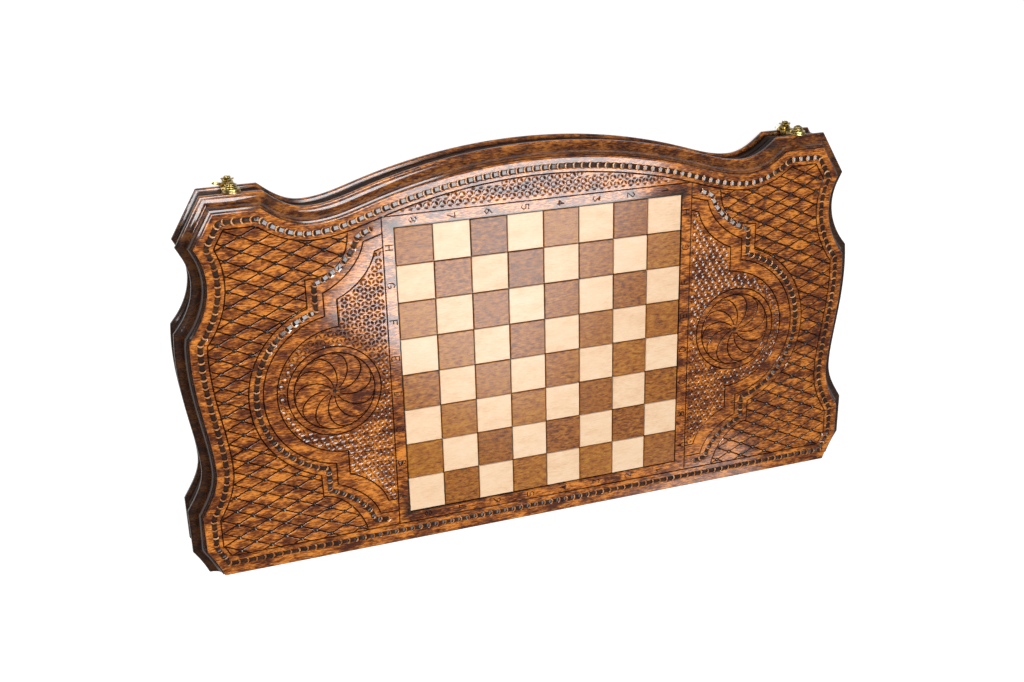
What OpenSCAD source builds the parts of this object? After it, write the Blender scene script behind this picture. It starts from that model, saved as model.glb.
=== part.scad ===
// Carved folding backgammon set, closed, lying on its back half with the chess field up.
// X runs along the hinge edge, Y from the hinge edge to the latches, Z up.
// The origin is on the resting face, under the middle of the chess field.

/* [Chess field] */
// Side of one chess square, with its share of the groove
square = 31; // [24:0.5:32]
// Width of the groove between two squares
square_groove = 0.9; // [0.4:0.1:2]
// Thickness of the inlaid squares
square_t = 2; // [1:0.5:4]

/* [Outline of the carved face] */
// Half width of the face at its lower corners
corner_x = 291.6; // [287:0.5:300]
// Half width of the face where it meets the hinge edge
foot_x = 280; // [275:0.5:285]
// Half width at the lower waist
waist_x = 277; // [273:0.2:280]
// Half width at the shoulder
shoulder_x = 285.5; // [282:0.5:292]
// Half width at the neck under the ear
neck_x = 274.8; // [273:0.5:280]
// Depth of the lower end of the corner's upright edge, under the field's middle
corner_low_y = 126.8; // [124:0.2:130]
// Depth of the upper end of that edge
corner_high_y = 97; // [96:0.2:104]
// Depth of the waist
waist_y = 57.4; // [52:0.2:62]
// Height of the shoulder over the field's middle
shoulder_y = 52.4; // [48:0.2:56]
// Height of the neck
neck_y = 124; // [120:0.2:128]
// Half width of the flat top of the ear, outer end
ear_out_x = 259.7; // [252:0.5:265]
// Half width of the flat top of the ear, inner end
ear_in_x = 224.8; // [215:0.5:232]
// Distance from the field's middle to the hinge edge
hinge_y = 150.8; // [146:0.5:160]
// Height of the ear's flat top
ear_y = 149.3; // [147:0.5:160]
// Height of the lowest point of the valley beside the ear
valley_y = 133.5; // [132:0.5:138]
// Half width at the lowest point of the valley
valley_x = 187.6; // [180:0.5:195]
// Height of the arch's crest
crest_y = 165.5; // [160:0.5:180]
// Radius of the arch
crest_r = 463; // [420:1:500]
// Half width of the round part of the arch
arch_x = 136.4; // [120:0.5:150]

/* [Bows of the outline, as steps across and up to a curve's handle] */
// From the foot, outward
foot_start = [3, 9]; // [0:0.5:20]
// From the foot, towards the corner
foot_end = [7, 17]; // [0:0.5:20]
// From the corner's upper end, inward
corner_bow = [7, 11.2]; // [4:0.1:14]
// Below the waist
waist_low_bow = 16.6; // [10:0.1:24]
// Above the waist
waist_high_bow = 29.4; // [20:0.1:36]
// Below the shoulder
shoulder_low_bow = [4.3, 41.5]; // [3:0.1:50]
// Above the shoulder
shoulder_high_bow = [13.6, 15.8]; // [8:0.1:20]
// Below the neck
neck_bow = [15, 27.9]; // [10:0.1:34]
// From the ear towards the valley
ear_bow = [10, 8.2]; // [5:0.1:14]
// Across, on the ear's side of the valley
valley_out_bow = 15.5; // [10:0.1:20]
// Across, on the arch's side of the valley
valley_in_bow = 18.6; // [12:0.1:24]
// Across, from the arch towards the valley
arch_bow = 15.5; // [10:0.1:20]

/* [Moulded edge] */
// Radius of the face's edge
edge_r = 1.2; // [0.6:0.1:2]
// Depth of the step under the face
step_d = 3; // [2:0.1:3]
// Width of the ledge beside the step
ledge_w = 1.3; // [1:0.1:3]
// Fall of the ledge and of the lip's underside
ledge_fall = 0.3; // [0.1:0.1:0.5]
// Radius of the hollow cove
cove_r = 8; // [5:0.1:8]
// Radius of the lip's two rounded edges
lip_r = 1.5; // [0.8:0.1:2]
// Thickness of the lip
lip_t = 4.2; // [4.2:0.1:5.2]
// Setback of the side wall behind the lip
wall_in = 3; // [2:0.1:4]

/* [Halves] */
// Thickness of one half
half_t = 26; // [25:0.5:34]
// Gap between the two closed halves
parting_gap = 0.4; // [0.2:0.1:1]
// Width of the small rebate along the parting
rebate_w = 0.8; // [0.4:0.1:1.5]
// Height of the small rebate along the parting
rebate_h = 0.6; // [0.4:0.1:1]
// Thickness of the moulded panel at its rim
panel_t = 16; // [15.8:0.1:17]
// Thickness left in the panel's middle
web_t = 8; // [6:0.5:9]

/* [Playing tray] */
// Half length of the tray
tray_x = 257.5; // [250:0.5:259]
// Distance from the field's middle to the tray's hinge side
tray_low_y = 137; // [132:0.5:139]
// Distance from the field's middle to the tray's arch side
tray_high_y = 127; // [122:0.5:129]
// Thickness of the playing field board
field_t = 2; // [1.5:0.1:3]
// Gap around the playing field board
field_fit = 0.2; // [0.1:0.05:0.5]
// Length of a point
point_len = 190; // [150:1:200]
// Width of a point at its base
point_w = 34; // [24:0.5:38]
// Gap between the checker strip and a point's base
point_gap = 2; // [1:0.5:6]
// Depth of a point's inlay
point_t = 0.8; // [0.5:0.1:1]
// Gap around an inlaid point
point_fit = 0.1; // [0.05:0.05:0.2]
// Width of the strip that the checkers rest against
strip_w = 12; // [8:0.5:16]
// Height of that strip
strip_h = 6; // [4:0.5:9]
// Radius of a checker's notch
notch_r = 15.5; // [12:0.5:18]
// Depth of a checker's notch
notch_d = 5.5; // [3:0.5:7]
// Checkers side by side across one tray
notches = 6; // [6:1:6]

/* [Hinges] */
// Distance of each hinge from the middle
hinge_x = 150; // [80:1:200]
// Length of a hinge
hinge_len = 60; // [50:1:80]
// Width of a hinge leaf, from the pin's axis
leaf_w = 13; // [11.5:0.1:13.4]
// Distance between two screws of a leaf
hinge_screw_gap = 20; // [14:0.5:22]
// Wood between a hinge screw's tip and the panel
tip_wood = 1.8; // [1:0.1:3]
// Thickness of a hinge leaf
leaf_t = 1; // [0.8:0.1:1.2]
// Radius of the hinge knuckles
knuckle_r = 2.5; // [2.2:0.1:3]
// Radius of the hinge pin
pin_r = 1.2; // [0.8:0.1:1.3]
// Radial clearance of a turning fit
turn_fit = 0.05; // [0.03:0.01:0.08]
// End gap between two knuckles
knuckle_gap = 0.3; // [0.2:0.1:0.6]
// Setback of the hinge walls from the pin's axis
wall_gap = 0.2; // [0.1:0.1:0.5]
// Clearance around the knuckles in the wood
knuckle_clear = 0.5; // [0.4:0.1:1]

/* [Latches] */
// Thickness of the latch plates
plate_t = 1.2; // [1:0.1:2]
// Width of the latch plates
plate_w = 12; // [11:0.5:14]
// Radius of the plate's round end
plate_r = 6.8; // [6:0.1:7.2]
// Distance of the post and of the hook's pivot from the parting
reach = 10.5; // [10:0.1:11]
// Distance of the latch screws from the parting
latch_screw_z = 5; // [4.6:0.1:5.2]
// Wood side of a latch plate's foot beyond its screws
foot_margin = 2.6; // [2:0.1:2.8]
// Distance between a plate's two screws
latch_screw_gap = 7; // [6.6:0.1:7.6]
// Thickness of the hook
hook_t = 1.6; // [1.2:0.1:2]
// Gap under and over the hook
hook_gap = 0.3; // [0.2:0.1:0.5]
// Width of the hook's arm
hook_w = 4; // [3:0.1:5]
// Radius of the hook's eye
eye_r = 4.6; // [4.2:0.1:5]
// Radius of the hook's curled end
curl_r = 6.3; // [5.8:0.1:6.6]
// Radius of the pivot
pivot_r = 2; // [1.6:0.1:2.4]
// Radius of the post's neck
neck_r = 3; // [2.4:0.1:3.2]
// Side clearance of the hook around the neck
neck_fit = 0.3; // [0.2:0.1:0.5]
// Angle of the hook's open mouth around its pivot
mouth_angle = 40; // [30:1:60]
// Height of one rib of the post's head
rib_h = 1.2; // [0.8:0.1:1.6]
// Step in from one rib to the next
rib_step = 0.5; // [0.2:0.1:0.8]
// Radius of the post's ribbed head
post_r = 4.6; // [4:0.1:5]
// Length of the thumb leaf
leaf_len = 9; // [7:0.5:11]
// Radius of the thumb leaf's two bowed sides
leaf_bow = 5.6; // [5.6:0.1:8]
// Width of the thumb leaf
leaf_w_mid = 5.4; // [3:0.1:5.5]
// Rise of the thumb leaf
leaf_rise = 14; // [5:1:25]
// Direction of the thumb leaf, turned from the opposite side of the mouth
leaf_turn = 160; // [150:1:200]
// Height of the collar over the hook's eye
collar_h = 1; // [0.6:0.1:1.5]
// Radius of a petal on the pivot's flower
petal_r = 2.2; // [1.6:0.1:2.4]

/* [Screws] */
// Radius of a screw's shank
shank_r = 0.9; // [0.7:0.05:1]
// Radius of a screw's head
head_r = 1.8; // [1.5:0.1:1.9]
// Length of a latch screw
latch_screw_len = 8; // [5:0.5:8.5]
// Gap around a screw
screw_fit = 0.03; // [0.02:0.01:0.06]

/* [Hidden] */
$fn = 48;
cut = 1;                                    // how far a cutter runs past a face
skin = 0.001;                               // how far a countersink runs past its face
big = 1000;                                 // longer than the whole set
thickness = 2 * half_t;
rail_top = half_t - parting_gap / 2;
lip_out = edge_r + ledge_w + cove_r + lip_r;
wall_out = lip_out - wall_in;
lip_d = step_d + ledge_fall + cove_r;       // depth of the lip's outer edge under the face
field_top = web_t + field_t;
squares_side = 8;
hinge_axis_y = -hinge_y - wall_gap;
ear_mid_x = (ear_out_x + ear_in_x) / 2;
lip_y = ear_y + lip_out;
wall_y = ear_y + wall_out;

// Outline of the face

// Points of a cubic curve from a to d, without its last point
function curve(a, b, c, d, n) = [
    for (i = [0 : n - 1]) let (t = i / n, s = 1 - t)
        s * s * s * a + 3 * s * s * t * b + 3 * s * t * t * c + t * t * t * d
];
function arch_height(x) = crest_y - crest_r + sqrt(crest_r * crest_r - x * x);
arch_slope = arch_x / sqrt(crest_r * crest_r - arch_x * arch_x);

// Left side in places measured on the face, each curve with its two handles
foot_to_neck = concat(
    curve([-foot_x, -hinge_y], [-foot_x - foot_start[0], -hinge_y + foot_start[1]],
        [-foot_x - foot_end[0], -hinge_y + foot_end[1]], [-corner_x, -corner_low_y], 3),
    [[-corner_x, -corner_low_y]],
    curve([-corner_x, -corner_high_y], [-corner_x + corner_bow[0], -corner_high_y + corner_bow[1]],
        [-waist_x, -waist_y - waist_low_bow], [-waist_x, -waist_y], 7),
    curve([-waist_x, -waist_y], [-waist_x, -waist_y + waist_high_bow],
        [-shoulder_x - shoulder_low_bow[0], shoulder_y - shoulder_low_bow[1]],
        [-shoulder_x, shoulder_y], 10),
    curve([-shoulder_x, shoulder_y],
        [-shoulder_x + shoulder_high_bow[0], shoulder_y + shoulder_high_bow[1]],
        [-neck_x + neck_bow[0], neck_y - neck_bow[1]], [-neck_x, neck_y], 9)
);
neck_to_crest = concat(
    [[-neck_x, neck_y], [-ear_out_x, ear_y]],
    curve([-ear_in_x, ear_y], [-ear_in_x + ear_bow[0], ear_y - ear_bow[1]],
        [-valley_x - valley_out_bow, valley_y], [-valley_x, valley_y], 6),
    curve([-valley_x, valley_y], [-valley_x + valley_in_bow, valley_y],
        [-arch_x - arch_bow, arch_height(arch_x) - arch_bow * arch_slope],
        [-arch_x, arch_height(arch_x)], 6),
    [for (i = [0 : 7]) let (x = -arch_x * (1 - i / 8)) [x, arch_height(x)]]
);
neck_i = len(foot_to_neck);
left_side = concat(foot_to_neck, neck_to_crest);
side_points = len(left_side);
outline = concat(left_side, [[0, crest_y]],
    [for (i = [side_points - 1 : -1 : 0]) [-left_side[i][0], left_side[i][1]]]);
last = len(outline) - 1;

function along(i) = (outline[i + 1] - outline[i]) / norm(outline[i + 1] - outline[i]);
function outward(i) = [-along(i)[1], along(i)[0]];
function mitre(i) = (outward(i - 1) + outward(i)) / (1 + outward(i - 1) * outward(i));
// End of an offset outline, slid along its first or last stretch to the hinge wall
function slide_to(p, dir, y) = p + dir * (y - p[1]) / dir[1];
// The outline moved out by out, with its straight side at height y
function ring(out, y) = [
    for (i = [0 : last])
        i == 0 ? slide_to(outline[0] + out * outward(0), along(0), y)
        : i == last ? slide_to(outline[last] + out * outward(last - 1), along(last - 1), y)
        : outline[i] + out * mitre(i)
];

// Moulded edge as pairs of distance out and depth under the face
cove_steps = 5;
moulding = concat(
    [for (a = [0, 45, 90]) [edge_r * sin(a), edge_r * (1 - cos(a))]],
    [[edge_r, step_d]],
    [for (i = [0 : cove_steps]) let (a = 180 - 90 * i / cove_steps)
        [edge_r + ledge_w + cove_r * (1 + cos(a)), step_d + ledge_fall + cove_r * sin(a)]],
    [for (a = [-45, 0]) [lip_out - lip_r + lip_r * cos(a), lip_d + lip_r + lip_r * sin(a)]],
    [for (a = [0, 45, 90])
        [lip_out - lip_r + lip_r * cos(a), lip_d + lip_t - lip_r + lip_r * sin(a)]],
    [[wall_out, lip_d + lip_t + ledge_fall], [wall_out, panel_t]]
);
// The hinge side has only the rounded edge
function hinge_side(step) = -hinge_y + edge_r - min(step[0], edge_r);

// The flat ends are cut into strips: level ones up to the neck, then upright ones under the arch.
// Their feet stand on the line from neck to neck
count = last + 1;
top_count = count - 2 * (neck_i + 1);
function strip_feet(points, z) = [
    for (i = [neck_i + 1 : last - neck_i - 1]) [points[i][0], points[neck_i][1], z]
];
// Faces of a flat end whose outline starts at place start and whose feet start at place feet
function end_faces(start, feet) = concat(
    [for (i = [0 : neck_i - 2]) [start + i, start + i + 1, start + last - i - 1, start + last - i]],
    [concat([start + neck_i - 1, start + neck_i], [for (i = [0 : top_count - 1]) feet + i],
        [start + last - neck_i, start + last - neck_i + 1])],
    [[start + neck_i, start + neck_i + 1, feet]],
    [for (i = [0 : top_count - 2])
        [feet + i, start + neck_i + 1 + i, start + neck_i + 2 + i, feet + i + 1]],
    [[feet + top_count - 1, start + last - neck_i - 1, start + last - neck_i]]
);
function turned(faces) = [for (f = faces) [for (i = [len(f) - 1 : -1 : 0]) f[i]]];

// Solid of a moulded panel, with its carved face at height 0
module moulded_slab() {
    levels = len(moulding);
    rings = [for (step = moulding) ring(step[0], hinge_side(step))];
    feet = levels * count;
    polyhedron(
        points = concat(
            [for (r = [0 : levels - 1]) for (p = rings[r]) [p[0], p[1], moulding[r][1]]],
            strip_feet(rings[0], 0),
            strip_feet(rings[levels - 1], panel_t)
        ),
        faces = concat(
            turned(end_faces(0, feet)),
            end_faces((levels - 1) * count, feet + top_count),
            [for (r = [0 : levels - 2]) for (i = [0 : count - 1]) let (j = (i + 1) % count)
                [r * count + i, r * count + j, (r + 1) * count + j, (r + 1) * count + i]]
        ),
        convexity = 6
    );
}

// Turns the back half's pieces over into the front half's
module turned_over() {
    translate([0, 0, thickness]) mirror([0, 0, 1]) children();
}
module mirrored_x(side) {
    mirror([side < 0 ? 0 : 1, 0, 0]) children();
}
module tray_block(low, high) {
    translate([-tray_x, -tray_low_y, low]) cube([2 * tray_x, tray_low_y + tray_high_y, high - low]);
}

// Pieces of one half, in the back half's place

module panel() {
    difference() {
        moulded_slab();
        tray_block(web_t, panel_t + cut);
    }
}
module rail_outline(out, low, high) {
    translate([0, 0, low]) linear_extrude(high - low) polygon(ring(out, -hinge_y));
}
module rail_stock() {
    rail_outline(wall_out, panel_t, rail_top - rebate_h);
    rail_outline(wall_out - rebate_w, rail_top - rebate_h, rail_top);
}
module hinge_rail() {
    difference() {
        intersection() {
            rail_stock();
            translate([-big / 2, -big, 0]) cube([big, big - tray_low_y, thickness]);
        }
        for (x = [-hinge_x, hinge_x]) {
            translate([x - hinge_len / 2 - knuckle_gap, -hinge_y - cut, leaf_top - leaf_t])
                cube([hinge_len + 2 * knuckle_gap, leaf_w - wall_gap + cut, leaf_t + cut]);
            translate([x, hinge_axis_y, half_t]) rotate([0, 90, 0])
                cylinder(r = knuckle_r + knuckle_clear, h = hinge_len + 2 * knuckle_gap, center = true);
            for (place = hinge_screw_places)
                translate([x + place[0], place[1], leaf_top - hinge_screw_len - screw_fit])
                    cylinder(r = shank_r + screw_fit, h = hinge_screw_len + cut);
        }
    }
}
module arch_rail() {
    difference() {
        intersection() {
            rail_stock();
            translate([-big / 2, tray_high_y, 0]) cube([big, big, thickness]);
        }
        for (x = [-ear_mid_x, ear_mid_x]) for (place = [-1, 1])
            translate([x + place * latch_screw_gap / 2, wall_y - latch_screw_len,
                half_t - latch_screw_z])
                rotate([-90, 0, 0]) cylinder(r = shank_r + screw_fit, h = latch_screw_len + cut);
    }
}
module left_rail() {
    intersection() {
        rail_stock();
        translate([-big, -tray_low_y, 0]) cube([big - tray_x, tray_low_y + tray_high_y, thickness]);
    }
}
module right_rail() {
    mirror([1, 0, 0]) left_rail();
}

pitch = (tray_low_y + tray_high_y) / notches;
function row_y(i) = -tray_low_y + pitch * (i + 0.5);
// One triangular point at the left end, grown by extra on every side
module point(i, extra) {
    half_w = point_w / 2;
    slant = norm([point_len, half_w]);
    grown_w = half_w + extra * (half_w + slant) / point_len;
    translate([-tray_x + strip_w + point_gap, row_y(i), field_top - point_t])
        linear_extrude(point_t + (extra > 0 ? cut : 0))
            polygon([[-extra, -grown_w], [point_len + extra * slant / half_w, 0], [-extra, grown_w]]);
}
// Points of one colour: 0 and 1 alternate along an end and across the tray
module points_of(colour, extra) {
    for (side = [-1, 1]) for (i = [0 : notches - 1])
        if ((i + (side > 0 ? 1 : 0)) % 2 == colour) mirrored_x(side) point(i, extra);
}
module playing_field() {
    difference() {
        translate([-tray_x + field_fit, -tray_low_y + field_fit, web_t])
            cube([2 * (tray_x - field_fit), tray_low_y + tray_high_y - 2 * field_fit, field_t]);
        points_of(0, point_fit);
        points_of(1, point_fit);
    }
}
module left_strip() {
    difference() {
        translate([-tray_x + field_fit, -tray_low_y + field_fit, field_top])
            cube([strip_w - field_fit, tray_low_y + tray_high_y - 2 * field_fit, strip_h]);
        for (i = [0 : notches - 1])
            translate([-tray_x + strip_w - notch_d + notch_r, row_y(i), field_top - cut])
                cylinder(r = notch_r, h = strip_h + 2 * cut);
    }
}

// Chess field

module chess_pocket() {
    side = squares_side * square + square_groove;
    translate([-side / 2, -side / 2, thickness - square_t]) cube([side, side, square_t + cut]);
}
// The top left square is dark, and colour 0 is dark
module squares_of(colour) {
    for (col = [0 : squares_side - 1]) for (row = [0 : squares_side - 1])
        if ((col + row + squares_side - 1) % 2 == colour)
            translate([(col - squares_side / 2) * square + square_groove / 2,
                (row - squares_side / 2) * square + square_groove / 2, thickness - square_t])
                cube([square - square_groove, square - square_groove, square_t]);
}

// Hinges, in the back half's place with their pins along X

knuckles = 5;
knuckle_len = hinge_len / knuckles;
leaf_gap = 0.4;                             // between the two closed leaves
leaf_top = half_t - leaf_gap / 2;
hinge_screw_len = leaf_top - panel_t - tip_wood;
screw_row_y = hinge_axis_y + (knuckle_r + leaf_w) / 2 + knuckle_clear / 2;
hinge_screw_places = [for (i = [-1 : 1]) [i * hinge_screw_gap, screw_row_y]];

// A leaf with knuckles of the given parity
module leaf(parity) {
    difference() {
        union() {
            translate([-hinge_len / 2, hinge_axis_y + knuckle_r + knuckle_clear, leaf_top - leaf_t])
                cube([hinge_len, leaf_w - knuckle_r - knuckle_clear, leaf_t]);
            for (k = [0 : knuckles - 1]) if (k % 2 == parity)
                translate([-hinge_len / 2 + k * knuckle_len + knuckle_gap / 2, 0, 0]) {
                    translate([0, hinge_axis_y, half_t]) rotate([0, 90, 0])
                        cylinder(r = knuckle_r, h = knuckle_len - knuckle_gap);
                    translate([0, hinge_axis_y, leaf_top - leaf_t])
                        cube([knuckle_len - knuckle_gap, knuckle_r + knuckle_clear + cut, leaf_t]);
                }
        }
        translate([0, hinge_axis_y, half_t]) rotate([0, 90, 0])
            cylinder(r = pin_r + turn_fit, h = hinge_len + 2 * cut, center = true);
        for (place = hinge_screw_places) translate([place[0], place[1], leaf_top - leaf_t - cut]) {
            cylinder(r = shank_r + screw_fit, h = leaf_t + 2 * cut);
            translate([0, 0, cut])
                cylinder(r1 = shank_r + screw_fit, r2 = head_r + screw_fit, h = leaf_t + skin);
        }
    }
}
module hinge_pin() {
    translate([0, hinge_axis_y, half_t]) rotate([0, 90, 0])
        cylinder(r = pin_r, h = hinge_len, center = true);
}
// Countersunk screw with its head's top at the origin and its shank downwards
module screw(length, head_h) {
    translate([0, 0, -head_h]) cylinder(r1 = shank_r, r2 = head_r, h = head_h);
    translate([0, 0, -length]) cylinder(r = shank_r, h = length - head_h);
}
module hinge_screws() {
    for (x = [-hinge_x, hinge_x]) for (place = hinge_screw_places)
        translate([x + place[0], place[1], leaf_top]) screw(hinge_screw_len, leaf_t);
}

// Latches, around the middle of an ear, in the back half's place

reach_z = half_t - reach;
plate_y = lip_y + plate_t;
hook_y = plate_y + hook_gap;
hook_top = hook_y + hook_t;
plate_edge = 1.4;                           // from the parting to a plate
petals = 5;
bud_r = 1.8;                                // the flower's middle
leaf_root = 0.6;                            // how far the thumb leaf starts inside the eye
ribs = 3;
dome_r = 2.6;                               // the post's rounded top
// Turns a shape drawn flat in X and Y, rising in Z, to lie on the ear's top at height y
module on_ear(y) {
    translate([0, y, 0]) rotate([-90, 0, 0]) mirror([0, 1, 0]) children();
}
module plate() {
    foot_h = latch_screw_z + foot_margin - plate_edge;
    difference() {
        union() {
            on_ear(lip_y) {
                translate([-plate_w / 2, reach_z, 0])
                    cube([plate_w, half_t - plate_edge - reach_z, plate_t]);
                translate([0, reach_z, 0]) cylinder(r = plate_r, h = plate_t);
            }
            on_ear(wall_y) translate([-plate_w / 2, half_t - plate_edge - foot_h, 0])
                cube([plate_w, foot_h, wall_in + plate_t / 2]);
        }
        for (place = [-1, 1])
            on_ear(wall_y - cut) translate([place * latch_screw_gap / 2, half_t - latch_screw_z, 0]) {
                cylinder(r = shank_r + screw_fit, h = wall_in + plate_t + 2 * cut);
                translate([0, 0, cut + wall_in])
                    cylinder(r1 = shank_r + screw_fit, r2 = head_r + screw_fit, h = plate_t + skin);
            }
    }
}
module hook_plate() {
    difference() {
        plate();
        on_ear(lip_y - cut) translate([0, reach_z, 0])
            cylinder(r = pivot_r + screw_fit, h = plate_t + 2 * cut);
    }
}
module latch_screws() {
    for (x = [-ear_mid_x, ear_mid_x]) for (place = [-1, 1])
        translate([x, 0, 0]) on_ear(plate_y)
            translate([place * latch_screw_gap / 2, half_t - latch_screw_z, 0])
                screw(latch_screw_len, plate_t);
}
// Rivet with a neck through the hook's eye and a flower on top
module hook_pivot() {
    on_ear(lip_y) translate([0, reach_z, 0]) {
        stem = plate_t + 2 * hook_gap + hook_t;
        cylinder(r = pivot_r, h = stem);
        translate([0, 0, stem]) cylinder(r = eye_r, h = collar_h);
        for (i = [0 : petals - 1]) rotate(360 * i / petals)
            translate([eye_r - petal_r, 0, stem + petal_r]) sphere(petal_r);
        translate([0, 0, stem + petal_r]) cylinder(r = bud_r, h = petal_r);
        translate([0, 0, stem + 2 * petal_r]) sphere(bud_r);
    }
}
// Eye, arm and curled end, open towards -X along the arc that the post's neck follows
module hook() {
    span = 2 * reach;
    on_ear(hook_y) translate([0, reach_z, 0]) difference() {
        union() {
            cylinder(r = eye_r, h = hook_t);
            translate([-hook_w / 2, 0, 0]) cube([hook_w, span, hook_t]);
            translate([0, span, 0]) cylinder(r = curl_r, h = hook_t);
            rotate(leaf_turn) translate([eye_r - leaf_root, 0, 0]) thumb_leaf();
        }
        translate([0, 0, -cut]) cylinder(r = pivot_r + turn_fit, h = hook_t + 2 * cut);
        translate([0, span, -cut]) cylinder(r = neck_r + neck_fit, h = hook_t + 2 * cut);
        translate([0, 0, -cut]) rotate(90) rotate_extrude(angle = mouth_angle)
            translate([span - neck_r - neck_fit, 0]) square([2 * (neck_r + neck_fit), hook_t + 2 * cut]);
    }
}
// Pointed leaf along X, rising from the eye
module thumb_leaf() {
    side_y = leaf_bow - leaf_w_mid / 2;
    rotate([0, -leaf_rise, 0]) translate([leaf_len / 2, 0, 0]) intersection() {
        translate([0, side_y, 0]) cylinder(r = leaf_bow, h = hook_t);
        translate([0, -side_y, 0]) cylinder(r = leaf_bow, h = hook_t);
    }
}
// Post with a plain neck and a ribbed head, in the front half's place
module post() {
    on_ear(plate_y) translate([0, reach_z, 0]) {
        neck_h = 2 * hook_gap + hook_t;
        cylinder(r = neck_r, h = neck_h);
        for (i = [0 : ribs - 1]) translate([0, 0, neck_h + i * rib_h]) {
            cylinder(r = post_r - i * rib_step, h = rib_h / 2);
            cylinder(r = post_r - (i + 1) * rib_step, h = rib_h);
        }
        translate([0, 0, neck_h + ribs * rib_h - rib_h / 2]) sphere(dome_r);
    }
}
module at_ear(side) {
    translate([side * ear_mid_x, 0, 0]) children();
}

// Sub-parts

module back_panel() { color("saddlebrown") panel(); }
module back_hinge_rail() { color("sienna") hinge_rail(); }
module back_arch_rail() { color("sienna") arch_rail(); }
module back_left_rail() { color("sienna") left_rail(); }
module back_right_rail() { color("sienna") right_rail(); }
module back_playing_field() { color("burlywood") playing_field(); }
module back_light_points() { color("wheat") points_of(0, 0); }
module back_dark_points() { color("saddlebrown") points_of(1, 0); }
module back_left_checker_strip() { color("peru") left_strip(); }
module back_right_checker_strip() { color("peru") mirror([1, 0, 0]) left_strip(); }
module front_panel() {
    color("saddlebrown") difference() {
        turned_over() panel();
        chess_pocket();
    }
}
module front_hinge_rail() { color("sienna") turned_over() hinge_rail(); }
module front_arch_rail() { color("sienna") turned_over() arch_rail(); }
module front_left_rail() { color("sienna") turned_over() left_rail(); }
module front_right_rail() { color("sienna") turned_over() right_rail(); }
module front_playing_field() { color("burlywood") turned_over() playing_field(); }
module front_light_points() { color("wheat") turned_over() points_of(0, 0); }
module front_dark_points() { color("saddlebrown") turned_over() points_of(1, 0); }
module front_left_checker_strip() { color("peru") turned_over() left_strip(); }
module front_right_checker_strip() { color("peru") turned_over() mirror([1, 0, 0]) left_strip(); }
module light_chess_squares() { color("navajowhite") squares_of(1); }
module dark_chess_squares() { color("brown") squares_of(0); }
module left_hinge_back_leaf() { color("goldenrod") translate([-hinge_x, 0, 0]) leaf(0); }
module left_hinge_front_leaf() {
    color("goldenrod") translate([-hinge_x, 0, 0]) turned_over() leaf(1);
}
module left_hinge_pin() { color("dimgray") translate([-hinge_x, 0, 0]) hinge_pin(); }
module right_hinge_back_leaf() { color("goldenrod") translate([hinge_x, 0, 0]) leaf(0); }
module right_hinge_front_leaf() {
    color("goldenrod") translate([hinge_x, 0, 0]) turned_over() leaf(1);
}
module right_hinge_pin() { color("dimgray") translate([hinge_x, 0, 0]) hinge_pin(); }
module back_hinge_screws() { color("gold") hinge_screws(); }
module front_hinge_screws() { color("gold") turned_over() hinge_screws(); }
module left_hook_plate() { color("darkgoldenrod") at_ear(-1) hook_plate(); }
module left_hook_pivot() { color("gold") at_ear(-1) hook_pivot(); }
module left_hook() { color("goldenrod") at_ear(-1) hook(); }
module left_post_plate() { color("darkgoldenrod") at_ear(-1) turned_over() plate(); }
module left_post() { color("gold") at_ear(-1) turned_over() post(); }
module right_hook_plate() { color("darkgoldenrod") at_ear(1) hook_plate(); }
module right_hook_pivot() { color("gold") at_ear(1) hook_pivot(); }
module right_hook() { color("goldenrod") at_ear(1) hook(); }
module right_post_plate() { color("darkgoldenrod") at_ear(1) turned_over() plate(); }
module right_post() { color("gold") at_ear(1) turned_over() post(); }
module back_latch_screws() { color("gold") latch_screws(); }
module front_latch_screws() { color("gold") turned_over() latch_screws(); }

back_panel();
back_hinge_rail();
back_arch_rail();
back_left_rail();
back_right_rail();
back_playing_field();
back_light_points();
back_dark_points();
back_left_checker_strip();
back_right_checker_strip();
front_panel();
front_hinge_rail();
front_arch_rail();
front_left_rail();
front_right_rail();
front_playing_field();
front_light_points();
front_dark_points();
front_left_checker_strip();
front_right_checker_strip();
light_chess_squares();
dark_chess_squares();
left_hinge_back_leaf();
left_hinge_front_leaf();
left_hinge_pin();
right_hinge_back_leaf();
right_hinge_front_leaf();
right_hinge_pin();
back_hinge_screws();
front_hinge_screws();
left_hook_plate();
left_hook_pivot();
left_hook();
left_post_plate();
left_post();
right_hook_plate();
right_hook_pivot();
right_hook();
right_post_plate();
right_post();
back_latch_screws();
front_latch_screws();
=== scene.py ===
# %% [markdown]
# A carved folding game board, dressed with Blender
#
# The real thing is a shallow wooden box in two halves, hinged on its straight edge, with an inlaid
# chess field and deep gouge carving on its face. The drawing of its parts is loaded first and stays
# fixed. Each cell below makes one piece or one finish around it, and says why it is made that way.

# %% Load the fixed frame
import math

import bmesh
import bpy
from mathutils import Matrix, Vector
from mathutils.geometry import delaunay_2d_cdt


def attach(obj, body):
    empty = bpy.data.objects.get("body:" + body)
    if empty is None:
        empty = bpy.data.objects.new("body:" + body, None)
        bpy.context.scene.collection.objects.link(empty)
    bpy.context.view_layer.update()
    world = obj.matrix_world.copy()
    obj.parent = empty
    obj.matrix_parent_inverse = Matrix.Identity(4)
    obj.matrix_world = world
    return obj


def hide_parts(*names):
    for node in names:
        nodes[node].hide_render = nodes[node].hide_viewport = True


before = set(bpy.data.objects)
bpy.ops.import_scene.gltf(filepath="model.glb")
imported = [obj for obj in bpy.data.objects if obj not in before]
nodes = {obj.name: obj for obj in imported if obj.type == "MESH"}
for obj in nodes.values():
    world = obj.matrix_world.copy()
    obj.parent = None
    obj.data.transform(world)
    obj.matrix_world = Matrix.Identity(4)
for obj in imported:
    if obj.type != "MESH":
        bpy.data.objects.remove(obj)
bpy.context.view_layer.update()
print("parts in the frame:", len(nodes))

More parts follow.
